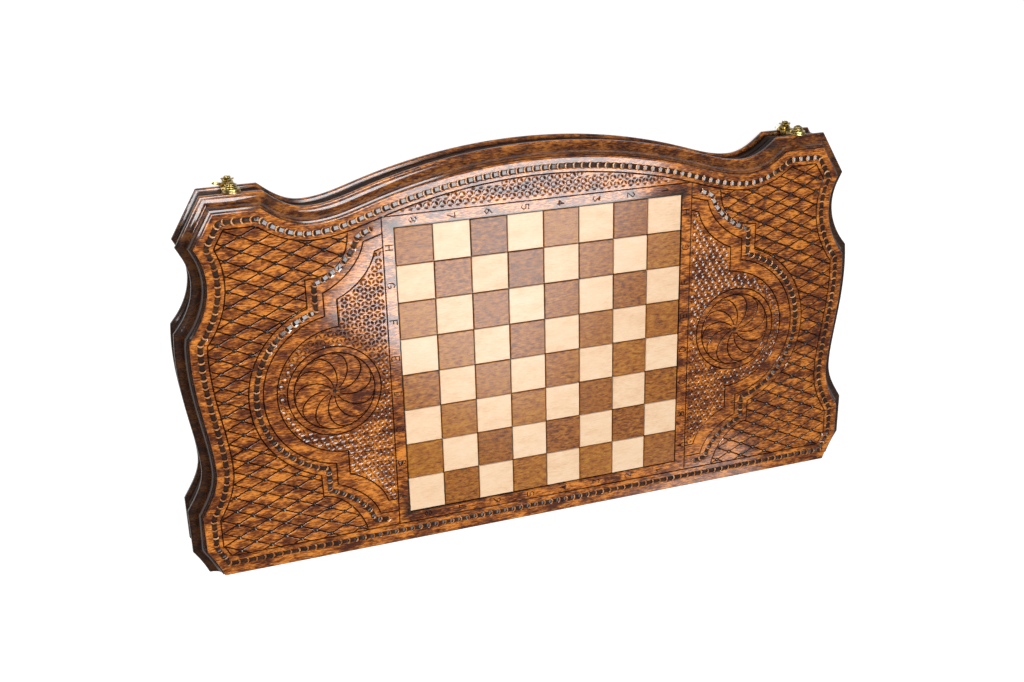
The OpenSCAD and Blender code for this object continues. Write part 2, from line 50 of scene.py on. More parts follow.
# %% [markdown]
# Sizes come from the drawing, in millimetres, and are turned to metres only when a mesh is made.
# The chess square is the maker's unit: the carving is laid out in squares, counted from the middle
# of the chess field.

# %% Sizes and small helpers that everything shares
MM = 0.001
SQUARE = 31.0
THICKNESS = 52.0


def squares(*places):
    """Turns places counted in chess squares into millimetres."""
    return [Vector((x * SQUARE, y * SQUARE)) for x, y in places]


def mirrored(path):
    """The same path on the other side of the middle."""
    return [Vector((-p.x, p.y)) for p in path]


def toward(angle):
    """A step of length one in a direction in degrees."""
    return Vector((math.cos(math.radians(angle)), math.sin(math.radians(angle))))


def linear(code):
    """An sRGB hex colour as the linear colour that a shader takes."""
    parts = [int(code[i:i + 2], 16) / 255 for i in (1, 3, 5)]
    return [c / 12.92 if c <= 0.04045 else ((c + 0.055) / 1.055) ** 2.4 for c in parts] + [1.0]


def add(tree, kind, inputs=None, **settings):
    """Adds a node, with its settings, and its inputs as values or as links.
    A node that is given as an input is linked by its first output."""
    node = tree.nodes.new(kind)
    for name, value in settings.items():
        setattr(node, name, value)
    for socket, value in (inputs or {}).items():
        if isinstance(value, bpy.types.Node):
            value = value.outputs[0]
        if isinstance(value, bpy.types.NodeSocket):
            tree.links.new(value, node.inputs[socket])
        else:
            node.inputs[socket].default_value = value
    return node


def maths(tree, operation, *values):
    """A sum on numbers."""
    return add(tree, "ShaderNodeMath", dict(enumerate(values)), operation=operation)


def new_material(name):
    """An empty material, with its tree."""
    material = bpy.data.materials.new(name)
    material.use_nodes = True
    material.node_tree.nodes.clear()
    return material, material.node_tree


def surfaced(material, surface):
    """A material that is given its surface."""
    add(material.node_tree, "ShaderNodeOutputMaterial", {"Surface": surface})
    return material

# %% [markdown]
# The camera stands where the photographer stood. The chess field is a true square grid, so its
# corners in the picture give the camera's place, its turn and its lens. The dots of the carved net
# lie in mirrored pairs, and they make it finer.

# %% Camera
camera_data = bpy.data.cameras.new("camera")
camera_data.sensor_width = 36.0
camera_data.lens = 43.36
camera = bpy.data.objects.new("camera", camera_data)
camera.location = Vector((-343.9, 380.7, 953.4)) * MM
camera.rotation_euler = [math.radians(angle) for angle in (-20.436, -19.73, -1.397)]
bpy.context.scene.collection.objects.link(camera)
bpy.context.scene.camera = camera
print("lens in mm:", camera_data.lens)

# %% [markdown]
# A glossy varnish shows what is around it. The large lamp on the latch side gives most of the
# light. One softbox hangs where the field mirrors it to the camera, so the field gets its pale
# sheen, and a card on the left draws lines along the mouldings of that side. These two show in
# reflections only, so that they leave the wood's own colour alone. A long softbox lifts the hinge
# side. The world fills the rest. It is darker on the left, as beside a black card, so that the
# hollow of the left edge reads dark, and the camera itself sees it white.

# %% Lamps and world
def lamp(name, place, target, size, power, mirrored_only=False):
    """A rectangular softbox that looks at its target."""
    data = bpy.data.lights.new(name, "AREA")
    data.shape = "RECTANGLE"
    data.size, data.size_y = size
    data.energy = power
    light = bpy.data.objects.new(name, data)
    light.location = place
    light.rotation_euler = (Vector(target) - Vector(place)).to_track_quat("-Z", "Y").to_euler()
    light.visible_diffuse = not mirrored_only
    bpy.context.scene.collection.objects.link(light)


lamp("softbox_over_the_field", (0.40, -0.20, 1.25), (0.1, 0.0, 0.05), (0.7, 0.4), 6.9, True)
lamp("softbox_over_the_hinge_side", (0.5, -1.15, 1.25), (0.1, -0.2, 0.05), (1.1, 0.34), 2.6)
lamp("lamp_on_the_latch_side", (-0.45, 0.55, 1.7), (-0.1, 0, 0), (1.2, 0.9), 32.5)
lamp("card_on_the_left", (-1.16, 0.80, 0.42), (-0.27, 0.1, 0.04), (0.28, 0.4), 8.5, True)

world = bpy.data.worlds.new("studio")
world.use_nodes = True
sky = world.node_tree
direction = add(sky, "ShaderNodeSeparateXYZ",
                {0: add(sky, "ShaderNodeTexCoord").outputs["Generated"]})
shaded = add(sky, "ShaderNodeMapRange", {"Value": direction.outputs["X"], "From Min": -0.9,
                                         "From Max": 0.1, "To Min": 0.03, "To Max": 0.2})
seen = maths(sky, "MAXIMUM", add(sky, "ShaderNodeLightPath").outputs["Is Camera Ray"], shaded)
background = sky.nodes["Background"]
background.inputs["Color"].default_value = linear("#FFFFFF")
sky.links.new(seen.outputs[0], background.inputs["Strength"])
bpy.context.scene.world = world
bpy.context.scene.view_settings.view_transform = "Standard"
print("lamps and world ready")

# %% [markdown]
# The floor is pale paper. To the camera it also glows, which lifts it to pure white, and
# reflections see a share of that glow. In a shadow the paper itself goes dark, so the shadow still
# shows.

# %% Floor
PAPER = "#A6A6A6"
GLOW, MIRRORED_SHARE = 0.8, 0.4


def paper_floor():
    """Pale paper that keeps a shadow."""
    material, tree = new_material("pale_paper")
    rays = add(tree, "ShaderNodeLightPath").outputs
    share = maths(tree, "MULTIPLY", rays["Is Glossy Ray"], MIRRORED_SHARE)
    for ray in ("Is Camera Ray", "Is Transmission Ray"):
        share = maths(tree, "MAXIMUM", share, rays[ray])
    glow = add(tree, "ShaderNodeEmission", {"Color": linear("#FFFFFF"),
                                            "Strength": maths(tree, "MULTIPLY", share, GLOW)})
    paper = add(tree, "ShaderNodeBsdfDiffuse", {"Color": linear(PAPER)})
    return surfaced(material, add(tree, "ShaderNodeAddShader", {0: paper, 1: glow}))


bpy.ops.mesh.primitive_plane_add(size=12)
floor = bpy.context.object
floor.name = "floor"
floor.data.materials.append(paper_floor())
print("floor ready")

# %% [markdown]
# The wood is beech, a pale even wood with short dark flecks along its grain. It is wiped with brown
# stain, which takes in blotches, and varnished to a gloss. Three patterns make that: long fibres,
# soft blotches and short flecks, each with its size in millimetres, all drawn out along the grain.
# The planks are glued edge to edge, so each gets its own tone and its own stretch of grain. Stain
# gathers in every cut, where the attribute named stain says so, and the same darkening also paints
# the shade of the cuts and hollows. The rails drink more stain in their end grain, and their faces
# to the left and right are darkened as painted shade too.

# %% Wood finishes
PLANK = 62.0
# The colour that cuts, hollows and the board's ends darken towards: gathered stain and painted
# shade
GATHERED_STAIN_AND_SHADE = "#160904"
FIBRE_SHARE, FLECK_SHARE = 0.48, 0.32
FIBRE_STRETCH, BLOTCH_STRETCH = 9, 2.2
FLECK_LENGTH, FLECK_WIDTH = 4.0, 1.3
MIDDLE_VALUE = 0.505  # what the mixed patterns give most often
# Where each thing starts to show, where it is full, and how much of the wood it then covers
FLECKS, CUT_STAIN_AND_SHADE, END_STAIN_AND_SHADE = (0.6, 0.72, 0.45), (0.05, 0.5, 0.93), (0.08, 0.35)


def ramp(tree, value, *stops):
    """Hex colours along a value, each with its place, the first and the last at the ends."""
    node = add(tree, "ShaderNodeValToRGB", {"Fac": value})
    elements = node.color_ramp.elements
    for element, (place, code) in zip(elements, (stops[0], stops[-1])):
        element.position = place
        element.color = linear(code)
    for place, code in stops[1:-1]:
        elements.new(place).color = linear(code)
    return node


def between(tree, value, low, high, most, colour, other):
    """A colour that gives way to another one where a value rises from low to high."""
    share = add(tree, "ShaderNodeMapRange",
                {"Value": value, "From Min": low, "From Max": high, "To Max": most})
    return add(tree, "ShaderNodeMix", {"Factor": share, "A": colour, "B": linear(other)},
               data_type="RGBA").outputs["Result"]


def wood(name, dark, middle, light, fibre=1.05, blotch=5.0, spread=0.085, rough=0.42, coat=1.0,
         gloss=1.5, polish=0.09, plank=PLANK, seed=0, planks=0.09, ends=0.0, cuts=False):
    """Beech under stain and varnish, from three hex colours and sizes in millimetres."""
    material, tree = new_material(name)
    place = add(tree, "ShaderNodeTexCoord").outputs["Object"]
    tone = add(tree, "ShaderNodeAttribute", attribute_name="tone").outputs["Fac"]
    split = add(tree, "ShaderNodeSeparateXYZ", {0: place})
    row = maths(tree, "FLOOR", maths(tree, "DIVIDE", split.outputs["Y"], plank * MM))
    row = maths(tree, "ADD", maths(tree, "ADD", row, seed), tone)
    own = add(tree, "ShaderNodeTexWhiteNoise", {"W": row}, noise_dimensions="1D")
    moved = add(tree, "ShaderNodeVectorMath", {0: own.outputs["Color"], 1: place}, operation="ADD")
    patterns = []
    for length, width, detail in ((FIBRE_STRETCH * fibre, fibre, 3),
                                  (BLOTCH_STRETCH * blotch, blotch, 2),
                                  (FLECK_LENGTH, FLECK_WIDTH, 3)):
        scale = (1 / (length * MM), 1 / (width * MM), 1 / (width * MM))
        drawn = add(tree, "ShaderNodeMapping", {"Vector": moved, "Scale": scale})
        noise = add(tree, "ShaderNodeTexNoise",
                    {"Vector": drawn, "Scale": 1.0, "Detail": detail, "Roughness": 0.6})
        patterns.append(noise.outputs["Fac"])
    fibres, blotches, flecks = patterns
    mixed = add(tree, "ShaderNodeMix", {"Factor": FIBRE_SHARE, "A": blotches, "B": fibres})
    mixed = add(tree, "ShaderNodeMix", {"Factor": FLECK_SHARE, "A": mixed, "B": flecks})
    shade = maths(tree, "MULTIPLY_ADD", own.outputs["Value"], planks, mixed)
    centre = MIDDLE_VALUE + planks / 2
    colour = ramp(tree, shade, (centre - spread, dark), (centre, middle), (centre + spread, light))
    colour = between(tree, flecks, *FLECKS, colour, dark)
    # Faces turned to the left and right darken: end grain that drinks stain, and painted shade
    if ends:
        normal = add(tree, "ShaderNodeTexCoord").outputs["Normal"]
        facing = add(tree, "ShaderNodeSeparateXYZ", {0: normal}).outputs["X"]
        facing = maths(tree, "ABSOLUTE", facing)
        colour = between(tree, facing, *END_STAIN_AND_SHADE, ends, colour, GATHERED_STAIN_AND_SHADE)
    # Cuts and hollows darken by the stain attribute: stain that gathers there, and painted shade
    if cuts:
        stain = add(tree, "ShaderNodeAttribute", attribute_name="stain").outputs["Fac"]
        colour = between(tree, stain, *CUT_STAIN_AND_SHADE, colour, GATHERED_STAIN_AND_SHADE)
    raised = add(tree, "ShaderNodeBump", {"Height": fibres, "Strength": 0.2, "Distance": 0.2 * MM})
    return surfaced(material, add(
        tree, "ShaderNodeBsdfPrincipled",
        {"Base Color": colour, "Roughness": rough, "Specular IOR Level": 0.05, "Coat Weight": coat,
         "Coat Roughness": polish, "Coat IOR": gloss, "Normal": raised}))


# The thick gloss varnish of the face mirrors the lamps sharply. The seed picks the stretch of grain
# that each plank shows.
carved_beech = wood("carved_beech_brown_stain_gloss_varnish", "#4A1D06", "#954E17", "#E88E34",
                    fibre=0.6, blotch=8.0, spread=0.07, gloss=1.65, seed=715, planks=0.03,
                    cuts=True)
# The rails are coloured far darker than the face, for their stain and as painted shade between the
# lips, and varnished thinly, so they stay dull there.
side_beech_stain_and_painted_shade = wood("side_beech_brown_stain_varnish", "#1C0D06", "#3F2210", "#5C3618",
                  rough=0.5, coat=0.15, ends=0.7)
print("carved finish:", carved_beech.name)

# %% [markdown]
# The outline is the same on every layer of the board: a straight hinge edge, cut corners, two
# waisted sides, two square ears and one arch. Its round stretches are curves with two handles, as
# in the drawing, but in shorter steps, because a render shows what a drawing may leave straight.

# %% Outline of the face
FINER = 3
HINGE_Y = 150.8
CREST_Y, ARCH_R, ARCH_X = 165.5, 463.0, 136.4


def bow(start, leave, arrive, end, steps):
    """Places along a curve with two handles, without its last place."""
    a, b, c, d = (Vector(p) for p in (start, leave, arrive, end))
    return [(1 - t) ** 3 * a + 3 * (1 - t) ** 2 * t * b + 3 * (1 - t) * t * t * c + t ** 3 * d
            for t in (i / steps for i in range(steps))]


def arch_y(x):
    """The height of the arch at a distance from the middle."""
    return CREST_Y - ARCH_R + math.sqrt(ARCH_R ** 2 - x * x)


def left_outline():
    """The face's left side, from the hinge edge to the crest."""
    slope = ARCH_X / math.sqrt(ARCH_R ** 2 - ARCH_X ** 2)
    return [
        *bow((-280, -HINGE_Y), (-283, -141.8), (-287, -133.8), (-291.6, -126.8), 3 * FINER),
        Vector((-291.6, -126.8)),
        *bow((-291.6, -97), (-284.6, -85.8), (-277, -74), (-277, -57.4), 7 * FINER),
        *bow((-277, -57.4), (-277, -28), (-289.8, 10.9), (-285.5, 52.4), 10 * FINER),
        *bow((-285.5, 52.4), (-271.9, 68.2), (-259.8, 96.1), (-274.8, 124), 9 * FINER),
        Vector((-274.8, 124)),
        Vector((-259.7, 149.3)),
        *bow((-224.8, 149.3), (-214.8, 141.1), (-203.1, 133.5), (-187.6, 133.5), 6 * FINER),
        *bow((-187.6, 133.5), (-169, 133.5), (-ARCH_X - 15.5, arch_y(ARCH_X) - 15.5 * slope),
             (-ARCH_X, arch_y(ARCH_X)), 6 * FINER),
        *[Vector((x, arch_y(x))) for x in (-ARCH_X * (1 - i / 24) for i in range(24))],
        Vector((0, CREST_Y)),
    ]


def both_sides(left):
    """Closes a left side that ends on the middle with its mirror image."""
    return left + mirrored(left[-2::-1])


outline = both_sides(left_outline())
print("places on the outline:", len(outline))

# %% [markdown]
# Gouge cuts are V shaped, and a chip of wood comes out clean at its rim. A height map would need
# millions of faces for that. Here every cut gives the face the lines that it is cut along: its two
# rims and its deepest line. One triangulation holds them all, and each corner then sinks by the
# deepest cut at its place. Where two grooves cross, the deeper wins, as it does in wood.

# %% A carved face
FILE = 8.0  # cuts are filed by place in squares of this size
RIM = 0.02  # a smaller share of a cut's depth counts as its rim
# How dark chips and dots go: stain that gathers in them, and painted shade
CHIP_STAIN_AND_SHADE = 0.6
DOT_FLOOR, DOT_STAIN_AND_SHADE = 0.15, 2.0
BELLY, BELLY_WIDTH = 0.2, 0.42  # how far along and how wide a petal's rim has its four corners


def beside(path, offsets, closed=False):
    """A path moved sideways, by its own offset at each place, with mitred corners."""
    count, moved = len(path), []
    for i, place in enumerate(path):
        before = path[i - 1] if i or closed else None
        after = path[(i + 1) % count] if i < count - 1 or closed else None
        ways = [(b - a).normalized() for a, b in ((before, place), (place, after)) if a and b]
        side = sum((Vector((-way.y, way.x)) for way in ways), Vector((0, 0))) / len(ways)
        moved.append(place + side * offsets[i] / max(side.length_squared, 0.3))
    return moved


def segment_share(a, b, half_a, half_b, flat):
    """How much of a groove's full depth a place has: 1 on its floor, 0 at its rims."""
    way = b - a
    square = max(way.length_squared, 1e-9)

    def share(x, y):
        t = min(1.0, max(0.0, ((x - a.x) * way.x + (y - a.y) * way.y) / square))
        gap = math.hypot(x - a.x - t * way.x, y - a.y - t * way.y)
        half = half_a + (half_b - half_a) * t
        return min(1.0, (1 - gap / half) / (1 - flat))
    return share


class Carving:
    """The cuts in one flat face: lines to cut along, and a depth for every place."""

    def __init__(self, rim):
        self.points, self.edges, self.cuts = [], [], {}
        self.trace(rim, closed=True)

    def trace(self, path, closed=False):
        """Keeps the lines of a path to cut along."""
        start, count = len(self.points), len(path)
        self.points += [Vector(p) for p in path]
        self.edges += [(start + i, start + (i + 1) % count)
                       for i in range(count if closed else count - 1)]

    def keep(self, share, depth, places, reach, tint=1.0):
        """Files a cut under every square of the face that it reaches."""
        xs, ys = [p.x for p in places], [p.y for p in places]
        for i in range(int((min(xs) - reach) // FILE), int((max(xs) + reach) // FILE) + 1):
            for j in range(int((min(ys) - reach) // FILE), int((max(ys) + reach) // FILE) + 1):
                self.cuts.setdefault((i, j), []).append((share, depth, tint))

    def at(self, place):
        """Depth, and stain with painted shade, at a place."""
        found = (0.0, 0.0)
        for share, depth, tint in self.cuts.get((int(place.x // FILE), int(place.y // FILE)), ()):
            part = share(place.x, place.y)
            if part > RIM:
                found = max(found, (part * depth, part * tint))
        return found

    def groove(self, path, width, depth, closed=False, flat=0.0, steps=(1,), tint=1.0):
        """A groove along a path. A list of widths lets it swell, and flat is its floor's share.
        Steps are shares of the depth that its stretches take by turns, and tint is how dark it
        goes: stain that gathers in it, and painted shade."""
        halves = [w / 2 for w in width] if isinstance(width, list) else [width / 2] * len(path)
        if closed:
            self.trace(beside(path, halves, True), True)
            self.trace(beside(path, [-h for h in halves], True), True)
        else:
            first = path[0] + (path[0] - path[1]).normalized() * halves[0]
            last = path[-1] + (path[-1] - path[-2]).normalized() * halves[-1]
            right = beside(path, [-h for h in halves])
            self.trace([first, *beside(path, halves), last, *right[::-1]], True)
        for side in ((flat, -flat) if flat else (0,)):
            self.trace(beside(path, [h * side for h in halves], closed), closed)
        for i in range(len(path) if closed else len(path) - 1):
            j = (i + 1) % len(path)
            share = segment_share(path[i], path[j], halves[i], halves[j], flat)
            step = steps[i % len(steps)]
            self.keep(share, depth * step, (path[i], path[j]), max(halves), tint * step)

    def petal(self, centre, angle, length, width, depth):
        """A chip shaped like a willow leaf: pointed at both ends, deepest in its middle."""
        along = toward(angle)
        across = Vector((-along.y, along.x))

        def share(x, y):
            from_centre = Vector((x, y)) - centre
            u, v = from_centre.dot(along) * 2 / length, from_centre.dot(across) * 2 / width
            return 1 - u * u - abs(v)

        rim = [centre + along * u * length + across * v * width for u, v in
               ((-0.5, 0), (-BELLY, -BELLY_WIDTH), (BELLY, -BELLY_WIDTH), (0.5, 0),
                (BELLY, BELLY_WIDTH), (-BELLY, BELLY_WIDTH))]
        self.trace(rim, True)
        self.trace([centre - along * BELLY * length, centre + along * BELLY * length])
        self.keep(share, depth, rim, 0, CHIP_STAIN_AND_SHADE)

    def dot(self, centre, radius, depth):
        """A dot pressed with a blunt point, dark with stain and painted shade."""
        for r in (radius, radius / 2):
            self.trace([centre + toward(45 * i) * r for i in range(8)], True)
        share = segment_share(centre, centre, radius, radius, DOT_FLOOR)
        self.keep(share, depth, [centre], radius, DOT_STAIN_AND_SHADE)


def inside(place, outlines):
    """Whether a place lies inside closed outlines, a hole being an outline within another."""
    odd = False
    for path in outlines:
        for a, b in zip(path, path[1:] + path[:1]):
            if (a.y > place.y) != (b.y > place.y):
                odd ^= place.x < a.x + (place.y - a.y) * (b.x - a.x) / (b.y - a.y)
    return odd


def gap_to(place, path):
    """Distance from a place to an open path."""
    def gap(a, b):
        """Distance from the place to one stretch."""
        share = (place - a).dot(b - a) / (b - a).length_squared
        return (place - a - (b - a) * min(1, max(0, share))).length

    return min(gap(a, b) for a, b in zip(path, path[1:]) if a != b)


def stretches_inside(start, end, outlines):
    """The stretches of a straight line that lie inside closed outlines."""
    way, cuts = end - start, []
    for path in outlines:
        for a, b in zip(path, path[1:] + path[:1]):
            edge = b - a
            turn = way.cross(edge)
            if abs(turn) > 1e-9:
                t, u = (a - start).cross(edge) / turn, (a - start).cross(way) / turn
                if 0 <= t <= 1 and 0 <= u < 1:
                    cuts.append(t)
    cuts.sort()
    return [(start + way * a, start + way * b) for a, b in zip(cuts[::2], cuts[1::2])]


def thinned(path, tolerance=0.06):
    """A path without the places that lie on its straight stretches."""
    if len(path) < 3:
        return path
    far, gap = max(((i, gap_to(p, [path[0], path[-1]])) for i, p in enumerate(path)),
                   key=lambda found: found[1])
    if gap < tolerance:
        return [path[0], path[-1]]
    return thinned(path[:far + 1])[:-1] + thinned(path[far:])


def resampled(path, step, closed=False, each=1):
    """Even places along a path, about a step apart, with some places for each step."""
    loop = path + path[:1] if closed else path
    lengths = [(b - a).length for a, b in zip(loop, loop[1:])]
    count = max(2, each * round(sum(lengths) / step))
    found, walked, i = [], 0.0, 0
    for k in range(count if closed else count + 1):
        goal = sum(lengths) * k / count
        while i < len(lengths) - 1 and walked + lengths[i] < goal:
            walked += lengths[i]
            i += 1
        found.append(loop[i].lerp(loop[i + 1], min(1.0, (goal - walked) / lengths[i])))
    return found


print("a carving starts with its rim and takes grooves, petals and dots")

# %% [markdown]
# Two lines run round the face inside its edge: the middle of the rope and the border line. Each is
# the outline moved in by a fixed distance. Moving every place inwards also makes places that end
# up too close to another stretch of the edge, at the cusps, and those are dropped.

# %% Border lines
BORDER_IN, BORDER_BOTTOM = 11.8, -4.314 * SQUARE
ROPE_IN, ROPE_BOTTOM = 6.5, -140.5


def inset(distance, lowest):
    """The left side moved in by a distance, and cut off at its lowest height."""
    fine = resampled(left_outline(), 1.5)
    moved = beside(fine, [-distance] * len(fine))
    kept = [p for p in moved if p.y >= lowest and p.x <= 0 and gap_to(p, fine) > distance - 0.1]
    kept = thinned(kept)
    return [Vector((kept[0].x, lowest)), *kept, Vector((0, kept[-1].y))]


border_left = inset(BORDER_IN, BORDER_BOTTOM)
rope_left = inset(ROPE_IN, ROPE_BOTTOM)
border = both_sides(border_left)
print("places on the border line:", len(border))

# %% [markdown]
# On each side of the chess field lies a cartouche of three lines, stepped at the top and bottom and
# round in the middle. All three share one centre. The rope runs between the outer two.

# %% Cartouche lines
ROSETTE = Vector((-5.54, -0.13)) * SQUARE


def cartouche(radius, start, top, step_top, step_low, low, end,
              hold=(0.1, 0.42, 0.5, 0.2), hold_low=(0.5, 0.2, 0.1, 0.42)):
    """One line from the chess frame's top, round the rosette, to the frame's bottom."""
    path = squares(*start)
    across, up = step_top[0] - top[0], step_top[1] - top[1]
    path += bow(*squares(top, (top[0] + hold[0] * across, top[1] + hold[1] * up),
                         (step_top[0] - hold[2] * across, step_top[1] - hold[3] * up), step_top), 8)
    reach = radius * SQUARE
    turn = math.degrees(math.acos((step_top[0] * SQUARE - ROSETTE.x) / reach))
    path += squares(step_top)
    path += [ROSETTE + toward(a) * reach for a in
             (turn + (360 - 2 * turn) * i / 36 for i in range(37))]
    across, up = low[0] - step_low[0], low[1] - step_low[1]
    path += bow(*squares(step_low,
                         (step_low[0] + hold_low[0] * across, step_low[1] + hold_low[1] * up),
                         (low[0] - hold_low[2] * across, low[1] - hold_low[3] * up), low), 8)
    return path + squares(low, *end)


inner_line = cartouche(1.737, [(-4.31, 3.53)], (-4.53, 3.46), (-5.57, 2.33), (-5.57, -2.54),
                       (-4.58, -3.54), [(-4.31, -3.55)])
middle_line = cartouche(2.086, [(-4.31, 3.89)], (-4.80, 3.74), (-5.91, 2.54), (-5.91, -2.80),
                        (-4.82, -3.886), [(-4.31, -3.90)])
outer_line = cartouche(2.45, [], (-5.18, 4.0), (-6.33, 2.93), (-6.32, -3.07), (-5.19, -4.31), [],
                       (0.03, 0.59, 0.68, 0.0), (0.5, 0.03, 0.08, 0.41))
rope_line = cartouche(2.26, [(-4.6, 4.03)], (-4.95, 3.88), (-6.12, 2.77), (-6.12, -2.95),
                      (-4.98, -4.05), [(-4.62, -4.1)])
print("places on the inner line:", len(inner_line))

# %% [markdown]
# Now the face is carved, in the order in which a carver would work: first the border lines and the
# frame, then the net of crossing grooves at both ends, then the petals, then the whirls. All of it
# is drawn on the left side and repeated on the right.

# %% Grounds of the carving
FRAME_EDGE = 4.31 * SQUARE
POCKET_EDGE = 4 * SQUARE + 0.45
WHIRL = Vector((-5.8, -0.13)) * SQUARE
CIRCLE = 1.22 * SQUARE
NET_STEP, NET_RISE = 0.4016 * SQUARE, 0.1915 * SQUARE
NET_DOT, NET_MARGIN, SHORTEST = 2.1, 2, 2.5
NET_REACH = 90  # steps of the net that a groove is drawn each way, more than the board is long
PETAL_STEP, PETAL_WIDTH, PETAL_LENGTHS = 6.45, 2.7, (5.0, 3.6)
PETAL_MARGIN, PETAL_ROWS, ROW_RISE = 1.2, 24, 0.866
SIDE_PETAL_DEPTH, TOP_PETAL_DEPTH = 0.62, 0.42
INNER_RIM, FRONT_BLADES, BACK_BLADES = 0.862, 11, 16
WHIRL_DOT, BLADE_GAP, BLADE_STEPS = 2.2, 0.8, 12
LEAVE_TURN, LEAVE_SHARE, ARRIVE_SHARE = 60, 0.55, 0.45  # the two handles of a blade's curve
THIN_BLADE, THICKER_BLADE = 0.8, 0.6
DOT_DEPTH = 2.2
net_line = {"width": 1.4, "depth": 1.1}
border_cut = {"width": 1.3, "depth": 1.1}
net_ground = [p for p in border_left if p.x < outer_line[0].x] + outer_line
crescent_ground = ([Vector((-FRAME_EDGE, FRAME_EDGE))]
                   + [p for p in border if abs(p.x) < FRAME_EDGE and p.y > 0]
                   + [Vector((FRAME_EDGE, FRAME_EDGE))])


def net(carving, ground, start, side=list):
    """Crossing grooves on a slanting grid, with a dot pressed in at each crossing."""
    low, high = (Vector(pick(p[axis] for p in ground[0]) for axis in (0, 1)) for pick in (min, max))
    first = int((low.x - start.x) / NET_STEP / 2) - 1
    last = int((high.x - start.x) / NET_STEP / 2) + 1
    foot = int((low.y - start.y) / NET_RISE) - 1
    top = int((high.y - start.y) / NET_RISE) + 1
    for slope in (1, -1):
        way = Vector((NET_STEP, slope * NET_RISE))
        for k in range(first - abs(top - foot), last + abs(top - foot)):
            base = start + Vector((2 * NET_STEP * k, 0))
            for a, b in stretches_inside(base - way * NET_REACH, base + way * NET_REACH, ground):
                if (b - a).length > SHORTEST:
                    carving.groove(side([a, b]), **net_line)
    for i in range(first, last + 1):
        for j in range(foot, top + 1):
            place = start + Vector((NET_STEP * (2 * i + j % 2), NET_RISE * j))
            if (inside(place, ground)
                    and min(gap_to(place, path + path[:1]) for path in ground) > NET_MARGIN):
                carving.dot(side([place])[0], NET_DOT, DOT_DEPTH)


def petals(carving, ground, middle, hole, depth):
    """Willow-leaf chips on the three sides of every triangle of a net, outside a round hole."""
    for row in range(-PETAL_ROWS, PETAL_ROWS + 1):
        for column in range(-PETAL_ROWS, PETAL_ROWS + 1):
            corner = middle + Vector((PETAL_STEP * (column + row % 2 / 2),
                                      row * PETAL_STEP * ROW_RISE))
            for angle in (0, 60, 120):
                centre = corner + toward(angle) * PETAL_STEP / 2
                if gap_to(centre, ground + ground[:1]) < PETAL_MARGIN:
                    continue
                for length in PETAL_LENGTHS:
                    tips = [centre + toward(angle) * s * (length / 2 - 0.5) for s in (-1, 0, 1)]
                    if all(inside(tip, [ground]) and (tip - hole[0]).length > hole[1]
                           for tip in tips):
                        carving.petal(centre, angle, length, PETAL_WIDTH, depth)
                        break


def whirl(carving, centre, radius, blades):
    """A round field with two rims, cut into curved blades from its middle."""
    inner = radius * INNER_RIM
    for r in (radius, inner):
        carving.groove([centre + toward(5 * i) * r for i in range(72)], closed=True, **border_cut)
    for i in range(blades):
        turn = 90 + 360 * i / blades
        end = centre + toward(turn) * (inner - BLADE_GAP)
        path = bow(centre, centre + toward(turn - LEAVE_TURN) * LEAVE_SHARE * inner,
                   end - toward(turn + 90) * ARRIVE_SHARE * inner, end, BLADE_STEPS) + [end]
        widths = [THIN_BLADE + THICKER_BLADE * math.sin(math.pi * k / BLADE_STEPS)
                  for k in range(1, BLADE_STEPS + 1)]
        carving.groove(path[1:], widths, border_cut["depth"])
    carving.dot(centre, WHIRL_DOT, DOT_DEPTH)


print("grounds:", len(net_ground), len(crescent_ground))

# %% [markdown]
# Plain numbers and letters run round the chess field, as on many boards. Each is engraved in a few
# strokes, drawn here on a grid two squares wide and four high.

# %% Engraved coordinates
STROKES = {
    "1": ((0, 3, 1, 4, 1, 0),),
    "2": ((0, 3, 1, 4, 2, 3, 0, 0, 2, 0),),
    "3": ((0, 4, 2, 4, 1, 2.4, 2, 1.2, 1, 0, 0, 0.6),),
    "4": ((1.5, 0, 1.5, 4, 0, 1, 2, 1),),
    "5": ((2, 4, 0, 4, 0, 2.4, 1.5, 2.4, 2, 1.2, 1, 0, 0, 0.5),),
    "6": ((2, 4, 0.4, 2.4, 0, 1, 1, 0, 2, 1, 1, 2.2, 0.2, 1.7),),
    "7": ((0, 4, 2, 4, 0.7, 0),),
    "8": ((1, 2.2, 0, 3.2, 1, 4, 2, 3.2, 0, 1, 1, 0, 2, 1, 1, 2.2),),
    "A": ((0, 0, 1, 4, 2, 0), (0.4, 1.4, 1.6, 1.4)),
    "B": ((0, 0, 0, 4, 1.6, 3.5, 1.6, 2.5, 0, 2.2, 2, 1.6, 2, 0.5, 0, 0),),
    "C": ((2, 3.4, 1, 4, 0, 3, 0, 1, 1, 0, 2, 0.6),),
    "D": ((0, 0, 0, 4, 1.4, 3.6, 2, 2, 1.4, 0.4, 0, 0),),
    "E": ((2, 4, 0, 4, 0, 0, 2, 0), (0, 2.1, 1.5, 2.1)),
    "F": ((2, 4, 0, 4, 0, 0), (0, 2.1, 1.5, 2.1)),
    "G": ((2, 3.4, 1, 4, 0, 3, 0, 1, 1, 0, 2, 0.8, 2, 1.8, 1.1, 1.8),),
    "H": ((0, 0, 0, 4), (2, 0, 2, 4), (0, 2.1, 2, 2.1)),
}
LETTER = Vector((0.125, 0.2)) * SQUARE
LETTER_ROW = 4.155 * SQUARE
# The tint darkens the strokes: stain that gathers in them, and painted shade
letter_cut = {"width": 0.9, "depth": 0.45, "tint": 1.6}


def engrave(carving, sign, centre, top):
    """One figure around a place, with its top turned to a direction in degrees."""
    up = toward(top)
    right = Vector((up.y, -up.x))
    for stroke in STROKES[sign]:
        path = [centre + right * (x / 2 - 0.5) * LETTER.x + up * (y / 4 - 0.5) * LETTER.y
                for x, y in zip(stroke[::2], stroke[1::2])]
        carving.groove(path, **letter_cut)


